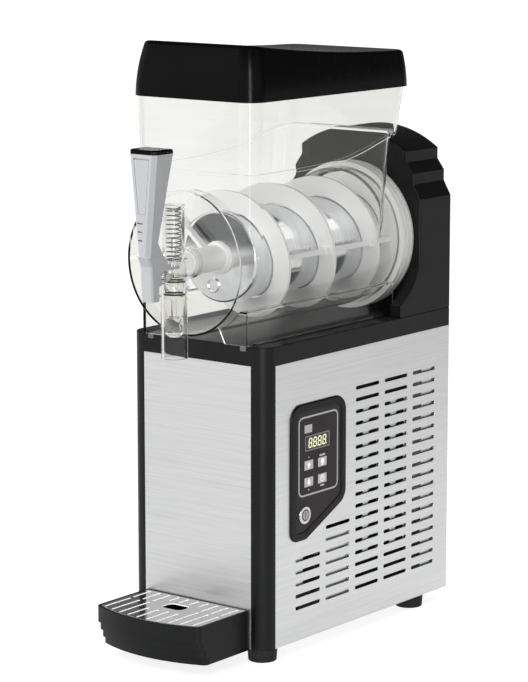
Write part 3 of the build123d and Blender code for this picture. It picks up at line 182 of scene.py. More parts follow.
def pressed_grid(name):
    """Smooth pressed steel whose slot walls are matt bare metal; their pale colour is partly that bare
    metal and partly a painted highlight, and their glow is a painted highlight.
    """
    light = tone(222, 222, 221)
    look = Look(name, light, 0.14, Metallic=1.0)
    wipes = look.noise(30.0, 4.0)
    upright = look.add("ShaderNodeSeparateXYZ")
    look.plug(upright.inputs[0], look.add("ShaderNodeNewGeometry").outputs["True Normal"])
    # Mask of the upright slot walls, which carry a painted highlight: a pale colour and a glow.
    slot_wall_highlight = look.spread(look.math("ABSOLUTE", upright.outputs["Z"]), 1.0, 0.0, 0.2, 0.6)
    top = look.blend(look.spread(wipes, 0, 1), tone(206, 206, 206), light)
    look.set(**{
        "Base Color": look.blend(slot_wall_highlight, top, tone(250, 250, 249)),
        "Metallic": look.math("SUBTRACT", 1.0, slot_wall_highlight),
        "Roughness": look.math("ADD", look.spread(wipes, 0.1, 0.2), look.math("MULTIPLY", slot_wall_highlight, 0.4)),
        # Glow on the slot walls: painted highlight.
        "Emission Color": tone(250, 250, 249),
        "Emission Strength": look.math("MULTIPLY", slot_wall_highlight, 0.45),
    })
    look.relief(wipes, 0.1 * MM, 0.1, 0.3 * MM)
    return look.material


def polished_steel(name, light, dark, roughness):
    """Turned and polished stainless with faint rings and wipe marks; the upper half of the
    drum's flat front, which looks into the shade of the hopper, is darker."""
    look = Look(name, light, roughness, Metallic=1.0)
    rings = look.noise(1.0, 3.0, 0.6, look.stretched(25, 900, 25))
    wipes = look.noise(22.0, 4.0)
    facing = look.add("ShaderNodeSeparateXYZ")
    look.plug(facing.inputs[0], look.add("ShaderNodeNewGeometry").outputs["True Normal"])
    height = look.add("ShaderNodeSeparateXYZ")
    look.plug(height.inputs[0], look.place)
    shade = look.math(
        "MULTIPLY", look.spread(facing.outputs["Y"], 0.8, 0.0, -0.95, -0.8),
        look.spread(height.outputs["Z"], 0.0, 1.0, SHADE_LINE - 6 * MM, SHADE_LINE + 12 * MM),
    )
    plain = look.blend(look.spread(rings, 0, 1), dark, light)
    look.set(**{
        "Base Color": look.blend(shade, plain, tone(84, 85, 88)),
        "Roughness": look.math(
            "ADD", look.spread(wipes, roughness - 0.03, roughness + 0.06),
            look.spread(rings, -0.02, 0.03),
        ),
    })
    look.relief(rings, 0.01 * MM, 0.25, 0.4 * MM)
    return look.material


def moulded(name, colour, lighter_tone, roughness, grain=0.35, specular=0.22):
    """Moulded plastic: fine spark-eroded grain, slow colour drift and slightly lighter edges."""
    look = Look(name, colour, roughness, **{"Specular IOR Level": specular})
    texture = look.noise(2600.0, 2.0, 0.6)
    drift = look.noise(14.0, 4.0)
    scuffs = look.noise(1.0, 5.0, 0.7, look.stretched(160, 160, 60))
    lighter_edges = look.math("MULTIPLY", look.edges(0.8 * MM), look.spread(drift, 0.1, 0.5))
    base = look.blend(look.spread(drift, 0.0, 0.35), colour, lighter_tone)
    look.set(**{
        "Base Color": look.blend(lighter_edges, base, lighter_tone),
        "Roughness": look.math(
            "ADD", look.spread(scuffs, roughness - 0.04, roughness + 0.08),
            look.spread(texture, -0.04, 0.04),
        ),
    })
    look.relief(texture, 0.06 * MM, grain, 0.5 * MM)
    return look.material


def clear_moulding(name):
    """Clear polycarbonate that lets light through to what is inside, with hairline scratches."""
    look = Look(name, tone(247, 247, 245), 0.012, **{"Transmission Weight": 1.0, "IOR": 1.22})
    hairlines = look.noise(1.0, 6.0, 0.75, look.stretched(900, 900, 70))
    haze = look.noise(30.0, 3.0)
    look.set(
        Roughness=look.math(
            "ADD", look.spread(hairlines, 0.0, 0.035, 0.55, 0.75), look.spread(haze, 0.0, 0.02)
        )
    )
    look.relief(haze, 0.2 * MM, 0.04)
    rays = look.add("ShaderNodeLightPath").outputs
    passing = look.math("MAXIMUM", rays["Is Shadow Ray"], rays["Is Diffuse Ray"])
    through = look.add("ShaderNodeBsdfTransparent", {"Color": (0.99, 0.99, 0.988, 1.0)}).outputs[0]
    mixed = look.add("ShaderNodeMixShader")
    look.plug(mixed.inputs[0], passing)
    look.plug(mixed.inputs[1], look.shader.outputs[0])
    look.plug(mixed.inputs[2], through)
    look.plug(look.output.inputs["Surface"], mixed.outputs[0])
    return look.material


def soft_white(name, colour, shade, roughness, depth, bump_scale=900.0):
    """Pale plastic or silicone that light sinks into."""
    look = Look(name, colour, roughness, **{
        "Subsurface Weight": 0.25, "Subsurface Radius": (1.0, 0.95, 0.9),
        "Subsurface Scale": depth, "Specular IOR Level": 0.4,
    })
    flow = look.noise(18.0, 4.0)
    grain = look.noise(bump_scale, 2.0)
    look.set(**{
        "Base Color": look.blend(look.spread(flow, 0.0, 0.6), colour, shade),
        "Roughness": look.spread(flow, roughness - 0.06, roughness + 0.1),
    })
    look.relief(look.math("ADD", grain, flow), 0.05 * MM, 0.3, 0.4 * MM)
    return look.material


def rubber(name):
    """Black rubber feet and mounts with a little dust."""
    look = Look(name, tone(34, 34, 35), 0.72, **{"Specular IOR Level": 0.3})
    dust = look.noise(260.0, 5.0, 0.7)
    grain = look.noise(3200.0, 2.0)
    look.set(**{
        "Base Color": look.blend(look.spread(dust, 0, 0.5, 0.5, 0.75), tone(30, 30, 31), tone(78, 76, 74)),
        "Roughness": look.spread(dust, 0.6, 0.85),
    })
    look.relief(grain, 0.08 * MM, 0.5, 0.6 * MM)
    return look.material


def satin_silver(name):
    """Silver lacquer with fine flakes; its edges are blended to white, a painted highlight."""
    look = Look(name, tone(200, 201, 203), 0.36, **{"Specular IOR Level": 0.35})
    flakes = look.noise(5200.0, 1.0)
    rubbed = look.noise(40.0, 4.0)
    base = look.blend(look.spread(flakes, 0, 1), tone(184, 186, 190), tone(208, 209, 211))
    look.set(**{
        # Edges blended to white: painted highlight.
        "Base Color": look.blend(look.edges(0.9 * MM), base, tone(255, 255, 255)),
        "Roughness": look.spread(rubbed, 0.28, 0.42),
    })
    look.relief(flakes, 0.02 * MM, 0.3, 0.5 * MM)
    return look.material


def printed_film(name):
    """Matt dark polyester film of the control panel."""
    look = Look(name, tone(52, 44, 46), 0.5, **{"Specular IOR Level": 0.25})
    weave = look.noise(3800.0, 2.0)
    drift = look.noise(20.0, 3.0)
    look.set(**{
        "Base Color": look.blend(look.spread(drift, 0, 1), tone(48, 40, 42), tone(58, 50, 52)),
        "Roughness": look.spread(weave, 0.42, 0.58),
    })
    look.relief(weave, 0.03 * MM, 0.4)
    return look.material


def pale_key(name):
    """Pale grey key caps, a little lighter where they are pressed most."""
    look = Look(name, tone(232, 230, 233), 0.45)
    patina = look.noise(120.0, 3.0)
    grain = look.noise(2600.0, 2.0)
    look.set(**{
        "Base Color": look.blend(look.spread(patina, 0, 1), tone(222, 220, 224), tone(242, 240, 243)),
        "Roughness": look.spread(grain, 0.38, 0.52),
    })
    look.relief(grain, 0.03 * MM, 0.4, 0.3 * MM)
    return look.material


def smoked_window(name):
    """Smoked display window with faint smears."""
    look = Look(name, tone(36, 32, 26), 0.12, **{"Specular IOR Level": 0.5})
    smear = look.noise(90.0, 4.0)
    look.set(**{
        "Base Color": look.blend(look.spread(smear, 0, 1), tone(30, 27, 22), tone(48, 43, 34)),
        "Roughness": look.spread(smear, 0.08, 0.2),
    })
    look.relief(smear, 0.05 * MM, 0.1)
    return look.material


def chrome(name):
    """Plated key lock: a bright flange and a duller barrel, with a dark ring round the barrel painted as
    the shade of its turned recess.
    """
    look = Look(name, tone(214, 213, 214), 0.1, Metallic=1.0)
    pits = look.noise(700.0, 4.0, 0.7)
    centre = middle("key_lock_barrel")
    apart = look.add("ShaderNodeVectorMath", operation="DISTANCE")
    look.plug(apart.inputs[0], look.stretched(0, 1, 1))
    apart.inputs[1].default_value = (0.0, centre.y, centre.z)
    radius = apart.outputs["Value"]
    # Dark ring round the barrel: painted shade.
    ring_painted_shade = look.math(
        "MINIMUM", look.spread(radius, 0, 1, *SHADED_RING_INNER), look.spread(radius, 1, 0, *SHADED_RING_OUTER)
    )
    plated = look.blend(look.spread(pits, 0, 1), tone(190, 189, 190), tone(226, 225, 224))
    dull = look.blend(look.spread(radius, 0.55, 0.0, *BARREL_EDGE), plated, tone(120, 116, 114))
    look.set(**{
        "Base Color": look.blend(ring_painted_shade, dull, tone(70, 66, 64)),
        "Roughness": look.spread(pits, 0.05, 0.16),
    })
    look.relief(pits, 0.02 * MM, 0.2, 0.4 * MM)
    return look.material


def bare_metal(name, light, dark, roughness, scale=120.0):
    """Metal with a mottled skin: castings, copper tube, plain steel and fin stock."""
    look = Look(name, light, roughness, Metallic=1.0)
    skin = look.noise(scale, 5.0, 0.65)
    grain = look.noise(scale * 12, 3.0)
    look.set(**{
        "Base Color": look.blend(look.spread(skin, 0, 1), dark, light),
        "Roughness": look.spread(skin, roughness - 0.08, roughness + 0.12),
    })
    look.relief(grain, 0.05 * MM, 0.35, 0.4 * MM)
    return look.material


def enamel(name):
    """Black stoved enamel with a little orange peel."""
    look = Look(name, tone(24, 24, 26), 0.3)
    peel = look.noise(420.0, 2.0)
    dust = look.noise(60.0, 5.0)
    look.set(**{
        "Base Color": look.blend(look.spread(dust, 0, 0.5, 0.5, 0.8), tone(22, 22, 24), tone(84, 82, 80)),
        "Roughness": look.spread(dust, 0.24, 0.5),
    })
    look.relief(peel, 0.1 * MM, 0.25, 0.5 * MM)
    return look.material


def circuit_laminate(name):
    """Green circuit board with paler tracks."""
    look = Look(name, tone(28, 96, 60), 0.35)
    tracks = look.add("ShaderNodeTexBrick", {
        "Vector": look.stretched(0, 380, 380), "Scale": 1.0, "Mortar Size": 0.05,
        "Color1": tone(24, 88, 54), "Color2": tone(30, 104, 66), "Mortar": tone(52, 140, 92),
    })
    look.set(**{"Base Color": tracks.outputs["Color"]})
    look.relief(look.noise(2000.0), 0.03 * MM, 0.3)
    return look.material


def print_white(name, colour, glow=0.0):
    """Silk-screened ink, slightly uneven in tone and thickness; a glow can be added to it as painted
    light.
    """
    look = Look(name, colour, 0.45, **{"Emission Color": colour, "Emission Strength": glow})
    uneven = look.noise(900.0, 3.0)
    darker = tuple(0.86 * value for value in colour[:3]) + (1.0,)
    look.set(**{"Base Color": look.blend(look.spread(uneven, 0, 1), darker, colour)})
    look.relief(uneven, 0.02 * MM, 0.4)
    return look.material


def lit_digit(name):
    """Pale yellow glow of the display's segments."""
    look = Look(name, tone(238, 240, 190), 0.4)
    uneven = look.noise(500.0, 2.0)
    glow = look.blend(look.spread(uneven, 0, 1), tone(226, 230, 168), tone(250, 250, 214))
    look.set(**{"Base Color": glow, "Emission Color": glow, "Emission Strength": 0.75})
    return look.material


LOOKS = {
    "steel_panel": lambda name: brushed_sheet(name, tone(226, 227, 226), tone(211, 212, 212), 0.34),
    "drum_steel": lambda name: polished_steel(name, tone(232, 233, 235), tone(206, 208, 211), 0.12),
    "grid_steel": pressed_grid,
    "black_plastic": lambda name: moulded(name, tone(8, 9, 10), tone(28, 30, 32), 0.38),
    "gloss_black": lambda name: moulded(name, tone(3, 3, 4), tone(9, 10, 11), 0.2, 0.12, 0.09),
    "grey_plug": lambda name: moulded(name, tone(104, 105, 108), tone(140, 141, 144), 0.45),
    "clear_plastic": clear_moulding,
    "white_plastic": lambda name: soft_white(name, tone(255, 255, 254), tone(250, 251, 251), 0.34, 3 * MM),
    "cream_silicone": lambda name: soft_white(
        name, tone(254, 253, 250), tone(244, 243, 239), 0.5, 4 * MM, 1600.0
    ),
    "gear_nylon": lambda name: soft_white(name, tone(224, 218, 196), tone(206, 200, 178), 0.45, 2 * MM),
    "black_rubber": rubber,
    "handle_silver": satin_silver,
    "membrane": printed_film,
    "button_grey": pale_key,
    "display": smoked_window,
    "lock_chrome": chrome,
    "steel": lambda name: bare_metal(name, tone(200, 201, 203), tone(168, 170, 173), 0.3),
    "copper": lambda name: bare_metal(name, tone(222, 150, 112), tone(176, 104, 74), 0.28, 90.0),
    "cast_alloy": lambda name: bare_metal(name, tone(196, 198, 200), tone(158, 160, 163), 0.5, 300.0),
    "aluminium_fins": lambda name: bare_metal(name, tone(218, 220, 222), tone(186, 188, 191), 0.35),
    "compressor_black": enamel,
    "green_board": circuit_laminate,
}
looks = {slot: make(slot + "_look") for slot, make in LOOKS.items()}
looks["print_white"] = print_white("print_white", tone(226, 225, 228))
looks["print_grey"] = print_white("print_grey", tone(150, 148, 150))
# The key symbols' print glows: painted light.
looks["print_symbol"] = print_white("print_symbol", tone(252, 252, 252), 0.55)
looks["lit_digit"] = lit_digit("lit_digit")
looks["spring_wire"] = bare_metal("spring_wire", tone(148, 149, 151), tone(92, 93, 95), 0.3, 400.0)


def dress_frame():
    """Give every CAD node the finish of its material slot."""
    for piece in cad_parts.values():
        for place in piece.material_slots:
            slot_name = place.material.name.split(".")[0]
            place.material = looks[slot_name]


# ---------------------------------------------------------------- mesh helpers
def finish_piece(name, mesh, look, body):
    """Make an object of a bmesh and let it ride on its body."""
    data = bpy.data.meshes.new(name)
    bmesh.ops.recalc_face_normals(mesh, faces=mesh.faces)
    mesh.to_mesh(data)
    mesh.free()
    data.materials.append(looks[look])
    piece = bpy.data.objects.new(name, data)
    bpy.context.scene.collection.objects.link(piece)
    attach(piece, body)
    return piece


def add_slab(mesh, outline, x, thickness):
    """Closed slab facing +x: an outline of (y, z) points extruded from x by thickness."""
    back = [mesh.verts.new((x, y, z)) for y, z in outline]
    front = [mesh.verts.new((x + thickness, y, z)) for y, z in outline]
    mesh.faces.new(back)
    mesh.faces.new(front)
    for here in range(len(outline)):
        there = (here + 1) % len(outline)
        mesh.faces.new((back[here], back[there], front[there], front[here]))


def add_band(mesh, outer, inner, x, thickness):
    """Closed flat ring facing +x between two outlines with the same number of points."""
    rings = [
        [mesh.verts.new((depth, y, z)) for y, z in outline]
        for depth, outline in ((x, outer), (x + thickness, outer), (x + thickness, inner), (x, inner))
    ]
    for first, second in zip(rings, rings[1:] + rings[:1]):
        for here in range(len(outer)):
            there = (here + 1) % len(outer)
            mesh.faces.new((first[here], first[there], second[there], second[here]))


def rounded(low, high, radius, steps=6):
    """Rounded rectangle between two (y, z) corners."""
    corners = (
        (high[0] - radius, high[1] - radius, 0), (low[0] + radius, high[1] - radius, 90),
        (low[0] + radius, low[1] + radius, 180), (high[0] - radius, low[1] + radius, 270),
    )
    points = []
    for y, z, start in corners:
        for step in range(steps + 1):
            angle = math.radians(start + 90 * step / steps)
            points.append((y + radius * math.cos(angle), z + radius * math.sin(angle)))
    return points


def disc(y, z, radius, steps=24):
    """Round outline about a (y, z) point."""
    turns = [2 * math.pi * step / steps for step in range(steps)]
    return [(y + radius * math.cos(turn), z + radius * math.sin(turn)) for turn in turns]


# ---------------------------------------------------------------- printed panel graphics
# Rises are measured from a key's centre, and the patch's offset from the display's upper left corner.
INK = 0.08 * MM  # thickness of every print
FRAME_LINE = 2.2 * MM
FRAME_RADIUS = 9 * MM
FRAME_MARGINS = ((5.0 * MM, 47.8 * MM), (7.0 * MM, 6.4 * MM))  # (left, bottom), (right, top)
WINDOW_MARGIN = 0.3 * MM
WINDOW_LINE = 1.7 * MM
DIGIT_SIZE = (6.2 * MM, 11.8 * MM)
DIGIT_PITCH = 10.2 * MM
DIGIT_LEAN = 0.10
STROKE_HALF = 0.85 * MM
STROKE_GAP = 0.25 * MM
POINT_OFFSET = 1.8 * MM
POINT_RADIUS = 0.7 * MM
PATCH_OFFSET = (-3.2 * MM, 5.9 * MM)
PATCH_SIZE = (16.4 * MM, 10.8 * MM)
ARROW_HALF = 4.2 * MM
SHAFT_HALF = 1.5 * MM
SHAFT_LENGTH = 3.6 * MM
CLOCK_RADII = (4.6 * MM, 3.5 * MM)
CLOCK_HANDS = ((0.0, 2.9 * MM), (2.4 * MM, 0.0))
HAND_HALF = 0.5 * MM
BULB_RISE = 1.0 * MM
BULB_RADIUS = 3.4 * MM
BULB_CAP = (-4.6 * MM, -2.7 * MM)
TRIANGLE_RISE = 9.6 * MM
TRIANGLE_HALF = 1.6 * MM
TRIANGLE_HEIGHT = 2.8 * MM
BAR_RISE = 9.4 * MM
BAR_HALF_HEIGHT = 1.3 * MM
LIGHT_BAR_HALF = 6.5 * MM
TIMER_BAR_HALF = 4.2 * MM


def panel_outline():
    """Pale rounded line printed round the display and keys."""
    low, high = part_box("control_membrane")
    (left, bottom), (right, top) = FRAME_MARGINS
    corner_low = (low.y + left, low.z + bottom)
    corner_high = (high.y - right, high.z - top)
    inside_low = (corner_low[0] + FRAME_LINE, corner_low[1] + FRAME_LINE)
    inside_high = (corner_high[0] - FRAME_LINE, corner_high[1] - FRAME_LINE)
    mesh = bmesh.new()
    add_band(
        mesh, rounded(corner_low, corner_high, FRAME_RADIUS),
        rounded(inside_low, inside_high, FRAME_RADIUS - FRAME_LINE), high.x, INK,
    )
    finish_piece("panel_outline", mesh, "print_white", "cabinet")


def display_frame():
    """Grey line round the display window."""
    low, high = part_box("display_lens")
    reach = WINDOW_MARGIN + WINDOW_LINE
    outer = rounded((low.y - reach, low.z - reach), (high.y + reach, high.z + reach), 1.2 * MM)
    inner = rounded(
        (low.y - WINDOW_MARGIN, low.z - WINDOW_MARGIN),
        (high.y + WINDOW_MARGIN, high.z + WINDOW_MARGIN), WINDOW_MARGIN,
    )
    mesh = bmesh.new()
    add_band(mesh, outer, inner, high.x, INK)
    finish_piece("display_frame", mesh, "print_grey", "cabinet")


def segment(start, end, half):
    """Six-sided display segment between two (y, z) points."""
    along = Vector(end) - Vector(start)
    along.normalize()
    across = Vector((-along.y, along.x)) * half
    inner_start = Vector(start) + along * half
    inner_end = Vector(end) - along * half
    return [
        tuple(point) for point in (
            Vector(start), inner_start - across, inner_end - across,
            Vector(end), inner_end + across, inner_start + across,
        )
    ]


def display_digits():
    """Four seven-segment digits, all segments lit, leaning a little to the right."""
    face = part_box("display_lens")[1].x
    centre = middle("display_lens")
    width, height = DIGIT_SIZE
    mesh = bmesh.new()
    for number in range(4):
        left = centre.y + (number - 1.5) * DIGIT_PITCH - width / 2
        corners = {
            (side, level): (
                left + side * width + DIGIT_LEAN * (level - 1) * height / 2,
                centre.z + (level - 1) * height / 2,
            )
            for side in (0, 1) for level in (0, 1, 2)
        }
        strokes = [((0, level), (1, level)) for level in (0, 1, 2)]
        strokes += [((side, level), (side, level + 1)) for side in (0, 1) for level in (0, 1)]
        for first, second in strokes:
            start, end = Vector(corners[first]), Vector(corners[second])
            trim = (end - start).normalized() * STROKE_GAP
            add_slab(mesh, segment(start + trim, end - trim, STROKE_HALF), face, INK)
        point = (left + width + POINT_OFFSET, centre.z - height / 2)
        add_slab(mesh, disc(*point, POINT_RADIUS, 10), face, INK)
    finish_piece("display_digits", mesh, "lit_digit", "cabinet")


def triangle_mark(mesh, node, way, face):
    """Small triangle above a key for way 1, or below it and upside down for way -1."""
    centre = middle(node)
    base = centre.z + way * TRIANGLE_RISE
    tip = (centre.y, base + way * TRIANGLE_HEIGHT)
    outline = [(centre.y - TRIANGLE_HALF, base), (centre.y + TRIANGLE_HALF, base), tip]
    add_slab(mesh, outline, face, INK)


def bar_mark(mesh, node, way, half, face):
    """Plain bar above a key for way 1, or below it for way -1."""
    centre = middle(node)
    z = centre.z + way * BAR_RISE
    low, high = (centre.y - half, z - BAR_HALF_HEIGHT), (centre.y + half, z + BAR_HALF_HEIGHT)
    add_slab(mesh, rounded(low, high, 0.5 * MM, 2), face, INK)


def panel_marks():
    """Small label patch above the display and the little marks beside the four keys."""
    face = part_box("control_membrane")[1].x
    lens_low, lens_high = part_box("display_lens")
    mesh = bmesh.new()
    patch_low = (lens_low.y + PATCH_OFFSET[0], lens_high.z + PATCH_OFFSET[1])
    patch_high = (patch_low[0] + PATCH_SIZE[0], patch_low[1] + PATCH_SIZE[1])
    add_slab(mesh, rounded(patch_low, patch_high, 0.8 * MM, 3), face, INK)
    triangle_mark(mesh, "button_up", 1, face)
    triangle_mark(mesh, "button_down", -1, face)
    bar_mark(mesh, "button_light", 1, LIGHT_BAR_HALF, face)
    bar_mark(mesh, "button_timer", -1, TIMER_BAR_HALF, face)
    finish_piece("panel_marks", mesh, "print_white", "cabinet")


def arrow_symbol(node, way):
    """Arrow on a key, pointing up for way 1 and down for way -1."""
    centre = middle(node)
    y, z = centre.y, centre.z
    head = [(y - ARROW_HALF, z), (y + ARROW_HALF, z), (y, z + way * ARROW_HALF)]
    tail = z - way * SHAFT_LENGTH
    shaft = [
        (y - SHAFT_HALF, tail), (y + SHAFT_HALF, tail), (y + SHAFT_HALF, z), (y - SHAFT_HALF, z),
    ]
    mesh = bmesh.new()
    for outline in (head, shaft):
        add_slab(mesh, outline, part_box(node)[1].x, INK)
    finish_piece(node + "_symbol", mesh, "print_symbol", "key_" + node.split("_")[1])


def lamp_symbol():
    """Bulb with its cap on the light key."""
    centre = middle("button_light")
    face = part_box("button_light")[1].x
    cap_low = (centre.y - SHAFT_HALF, centre.z + BULB_CAP[0])
    cap_high = (centre.y + SHAFT_HALF, centre.z + BULB_CAP[1])
    mesh = bmesh.new()
    add_slab(mesh, disc(centre.y, centre.z + BULB_RISE, BULB_RADIUS), face, INK)
    add_slab(mesh, rounded(cap_low, cap_high, 0.4 * MM, 2), face, INK)
    finish_piece("button_light_symbol", mesh, "print_symbol", "key_light")


def clock_symbol():
    """Round clock with two hands on the timer key."""
    centre = middle("button_timer")
    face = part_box("button_timer")[1].x
    rim, dial = (disc(centre.y, centre.z, radius) for radius in CLOCK_RADII)
    mesh = bmesh.new()
    add_band(mesh, rim, dial, face, INK)
    for across, up in CLOCK_HANDS:
        hand = segment((centre.y, centre.z), (centre.y + across, centre.z + up), HAND_HALF)
        add_slab(mesh, hand, face, INK)
    finish_piece("button_timer_symbol", mesh, "print_symbol", "key_timer")


# ---------------------------------------------------------------- spring
WIRE = 0.8 * MM  # half the thickness of the spring's wire
OPEN_TURNS = 11.0
CLOSED_TURNS = 1.0
CLOSED_RISE = 2.1 * WIRE * CLOSED_TURNS
STEPS_PER_TURN = 28
WIRE_SIDES = 10


def wire_height(turn, bottom, top):
    """Height of the wire after a number of turns: closed at both ends, evenly open between."""
    total_turns = OPEN_TURNS + 2 * CLOSED_TURNS
    if turn < CLOSED_TURNS:
        return bottom + CLOSED_RISE * turn / CLOSED_TURNS
    if turn > total_turns - CLOSED_TURNS:
        return top - CLOSED_RISE * (total_turns - turn) / CLOSED_TURNS
    share = (turn - CLOSED_TURNS) / OPEN_TURNS
    return bottom + CLOSED_RISE + share * (top - bottom - 2 * CLOSED_RISE)


def wire_ring(mesh, centre, radius, turn, height):
    """Round section of the wire at one place on the coil."""
    angle = 2 * math.pi * turn
    outward = Vector((math.cos(angle), math.sin(angle), 0))
    heart = Vector((centre.x, centre.y, height)) + outward * radius
    return [
        mesh.verts.new(heart + outward * WIRE * math.cos(side) + Vector((0, 0, WIRE * math.sin(side))))
        for side in (2 * math.pi * number / WIRE_SIDES for number in range(WIRE_SIDES))
    ]


def wound_spring():
    """Coil spring between the plunger's collar and the top of the spring tube, made at its rest length."""
    low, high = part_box("tap_spring")
    centre = middle("tap_spring")
    radius = (high.x - low.x) / 2 - WIRE
    turns = [
        step / STEPS_PER_TURN
        for step in range(int((OPEN_TURNS + 2 * CLOSED_TURNS) * STEPS_PER_TURN) + 1)
    ]
    mesh = bmesh.new()
    rings = [
        wire_ring(mesh, centre, radius, turn, wire_height(turn, low.z + WIRE, high.z - WIRE))
        for turn in turns
    ]
    for first, second in zip(rings, rings[1:]):
        for here in range(WIRE_SIDES):
            there = (here + 1) % WIRE_SIDES
            mesh.faces.new((first[here], first[there], second[there], second[here]))
    mesh.faces.new(rings[0])
    mesh.faces.new(rings[-1])
    for face in mesh.faces:
        face.smooth = len(face.verts) == 4
    spring = finish_piece("wound_spring", mesh, "spring_wire", "bowl")
    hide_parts("tap_spring")
    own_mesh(spring)


# ---------------------------------------------------------------- floor, light and camera
FLOOR_HALF = 60.0
AIM = Vector((0.0656, -0.0929, 0.4191))
TOWARDS_CAMERA = Vector((0.6058, -0.7757, 0.1769)).normalized()
CAMERA_DISTANCE = 3.58336
LENS = 144.27
SENSOR = 36.0
CLIP_END = 200.0


def floor_glow(look):
    """White to the eye, darker in reflections and darkest far behind the machine."""
    apart = look.add("ShaderNodeVectorMath", operation="DOT_PRODUCT")
    look.plug(apart.inputs[0], look.place)
    apart.inputs[1].default_value = (0.7, 0.7, 0.0)
    mirrored = look.math(
        "MINIMUM", look.spread(apart.outputs["Value"], 0.6, 0.74, -0.6, 0.3),
        look.spread(apart.outputs["Value"], 0.74, 0.42, 0.5, 2.2),
    )
    rays = look.add("ShaderNodeLightPath").outputs
    parts = (
        look.math("MULTIPLY", rays["Is Camera Ray"], 0.84),
        look.math("MULTIPLY", rays["Is Transmission Ray"], 0.62),
        look.math("MULTIPLY", rays["Is Diffuse Ray"], 0.26),
        look.math("MULTIPLY", rays["Is Glossy Ray"], mirrored),
    )
    return look.math("MAXIMUM", look.math("MAXIMUM", *parts[:2]), look.math("MAXIMUM", *parts[2:]))


def studio_floor():
    """Plain white floor with a soft contact shadow."""
    mesh = bmesh.new()
    corners = [(-1, -1), (1, -1), (1, 1), (-1, 1)]
    mesh.faces.new([mesh.verts.new((x * FLOOR_HALF, y * FLOOR_HALF, 0)) for x, y in corners])
    data = bpy.data.meshes.new("studio_floor")
    mesh.to_mesh(data)
    mesh.free()
    look = Look("floor_look", (0.8, 0.8, 0.8, 1.0), 0.9)
    mottle = look.noise(3.0, 3.0)
    look.set(**{
        "Base Color": look.blend(look.spread(mottle, 0, 1), (0.28, 0.28, 0.28, 1), (0.32, 0.32, 0.32, 1)),
        "Emission Color": (1, 1, 1, 1), "Emission Strength": floor_glow(look),
        "Specular IOR Level": 0.0,
    })
    data.materials.append(look.material)
    floor = bpy.data.objects.new("studio_floor", data)
    bpy.context.scene.collection.objects.link(floor)


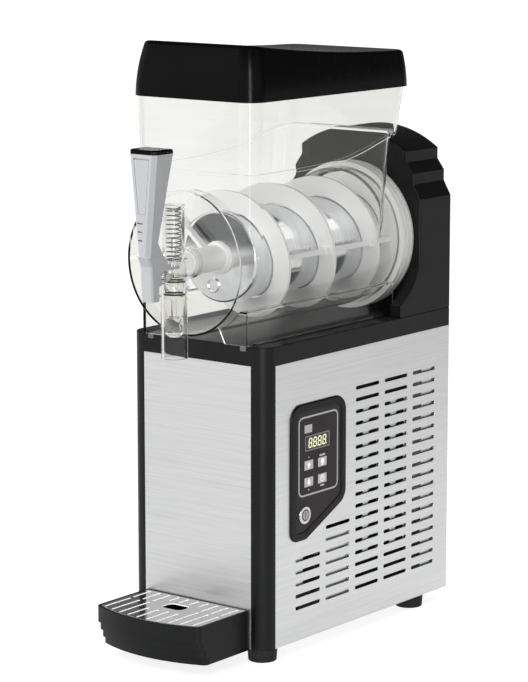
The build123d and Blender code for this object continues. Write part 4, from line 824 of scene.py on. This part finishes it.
def studio_world():
    """White surroundings to the eye. They light the machine mostly from the front left, and in
    reflections they darken upwards and towards the back."""
    world = bpy.data.worlds.new("studio")
    world.use_nodes = True
    bpy.context.scene.world = world
    tree = world.node_tree
    background = tree.nodes["Background"]
    background.inputs["Color"].default_value = (1, 1, 1, 1)
    direction = tree.nodes.new("ShaderNodeTexCoord").outputs["Generated"]

    def towards(axis, start, end, low, high):
        """Strength that goes from low to high as the direction turns towards an axis."""
        side = tree.nodes.new("ShaderNodeVectorMath")
        side.operation = "DOT_PRODUCT"
        tree.links.new(direction, side.inputs[0])
        side.inputs[1].default_value = Vector(axis).normalized()
        shade = tree.nodes.new("ShaderNodeMapRange")
        shade.interpolation_type = "SMOOTHSTEP"
        tree.links.new(side.outputs["Value"], shade.inputs["Value"])
        for name, value in (("From Min", start), ("From Max", end), ("To Min", low), ("To Max", high)):
            shade.inputs[name].default_value = value
        return shade.outputs["Result"]

    def combine(operation, first, second):
        """Arithmetic on two strengths; a difference never falls below zero."""
        made = tree.nodes.new("ShaderNodeMath")
        made.operation = operation
        made.use_clamp = operation == "SUBTRACT"
        for socket, value in zip(made.inputs, (first, second)):
            if isinstance(value, float):
                socket.default_value = value
            else:
                tree.links.new(value, socket)
        return made.outputs[0]

    def choose(factor, first, second):
        """Go from the first strength to the second with a factor."""
        made = tree.nodes.new("ShaderNodeMix")
        for name, value in (("Factor", factor), ("A", first), ("B", second)):
            if isinstance(value, float):
                made.inputs[name].default_value = value
            else:
                tree.links.new(value, made.inputs[name])
        return made.outputs["Result"]

    rays = tree.nodes.new("ShaderNodeLightPath").outputs
    soft = towards((-0.5, -0.8, 0.4), -0.6, 0.9, 0.14, 1.65)
    upward = towards((0.0, 0.0, 1.0), 0.25, 0.6, 1.0, 0.2)
    sideways = towards((0.2, -1.0, 0.0), -0.6, 0.4, 0.16, 1.0)
    mirrored = combine("MULTIPLY", upward, sideways)
    only_mirrored = combine("SUBTRACT", rays["Is Glossy Ray"], rays["Is Transmission Ray"])
    strength = choose(rays["Is Diffuse Ray"], 1.0, soft)
    tree.links.new(choose(only_mirrored, strength, mirrored), background.inputs["Strength"])


def softbox(name, place, size, power, lights=True):
    """Large rectangular light aimed at the middle of the machine. One that does not light
    surfaces is seen only in their reflections."""
    lamp = bpy.data.lights.new(name, "AREA")
    lamp.shape = "RECTANGLE"
    lamp.size, lamp.size_y = size
    lamp.energy = power
    holder = bpy.data.objects.new(name, lamp)
    holder.location = place
    holder.rotation_euler = (AIM - Vector(place)).to_track_quat("-Z", "Y").to_euler()
    holder.visible_camera = False
    holder.visible_diffuse = lights
    holder.visible_glossy = not lights
    bpy.context.scene.collection.objects.link(holder)


def studio_camera():
    """Long lens from the front right and a little above the lid, aimed at the machine's middle."""
    lens = bpy.data.cameras.new("camera")
    lens.lens = LENS
    lens.sensor_width = SENSOR
    lens.clip_end = CLIP_END
    camera = bpy.data.objects.new("camera", lens)
    camera.location = AIM + TOWARDS_CAMERA * CAMERA_DISTANCE
    camera.rotation_euler = TOWARDS_CAMERA.to_track_quat("Z", "Y").to_euler()
    bpy.context.scene.collection.objects.link(camera)
    bpy.context.scene.camera = camera


def picture_settings():
    """Plain view transform, and enough bounces for light to pass through the bowl's walls."""
    scene = bpy.context.scene
    scene.view_settings.view_transform = "Standard"
    scene.cycles.use_denoising = True
    scene.cycles.max_bounces = 28
    scene.cycles.transmission_bounces = 28
    scene.cycles.transparent_max_bounces = 32
    scene.cycles.glossy_bounces = 8
    scene.cycles.diffuse_bounces = 4
    scene.cycles.sample_clamp_indirect = 8.0


dress_frame()
panel_outline()
display_frame()
display_digits()
panel_marks()
arrow_symbol("button_up", 1)
arrow_symbol("button_down", -1)
lamp_symbol()
clock_symbol()
wound_spring()
studio_floor()
studio_world()
softbox("key_light", (-1.3, -2.2, 1.9), (1.4, 1.4), 8.0)
softbox("back_light", (0.6, 2.2, 1.8), (2.2, 1.0), 4.0)
softbox("strip_light", (1.9, -2.3, 0.95), (0.4, 2.0), 45.0, lights=False)
studio_camera()
picture_settings()
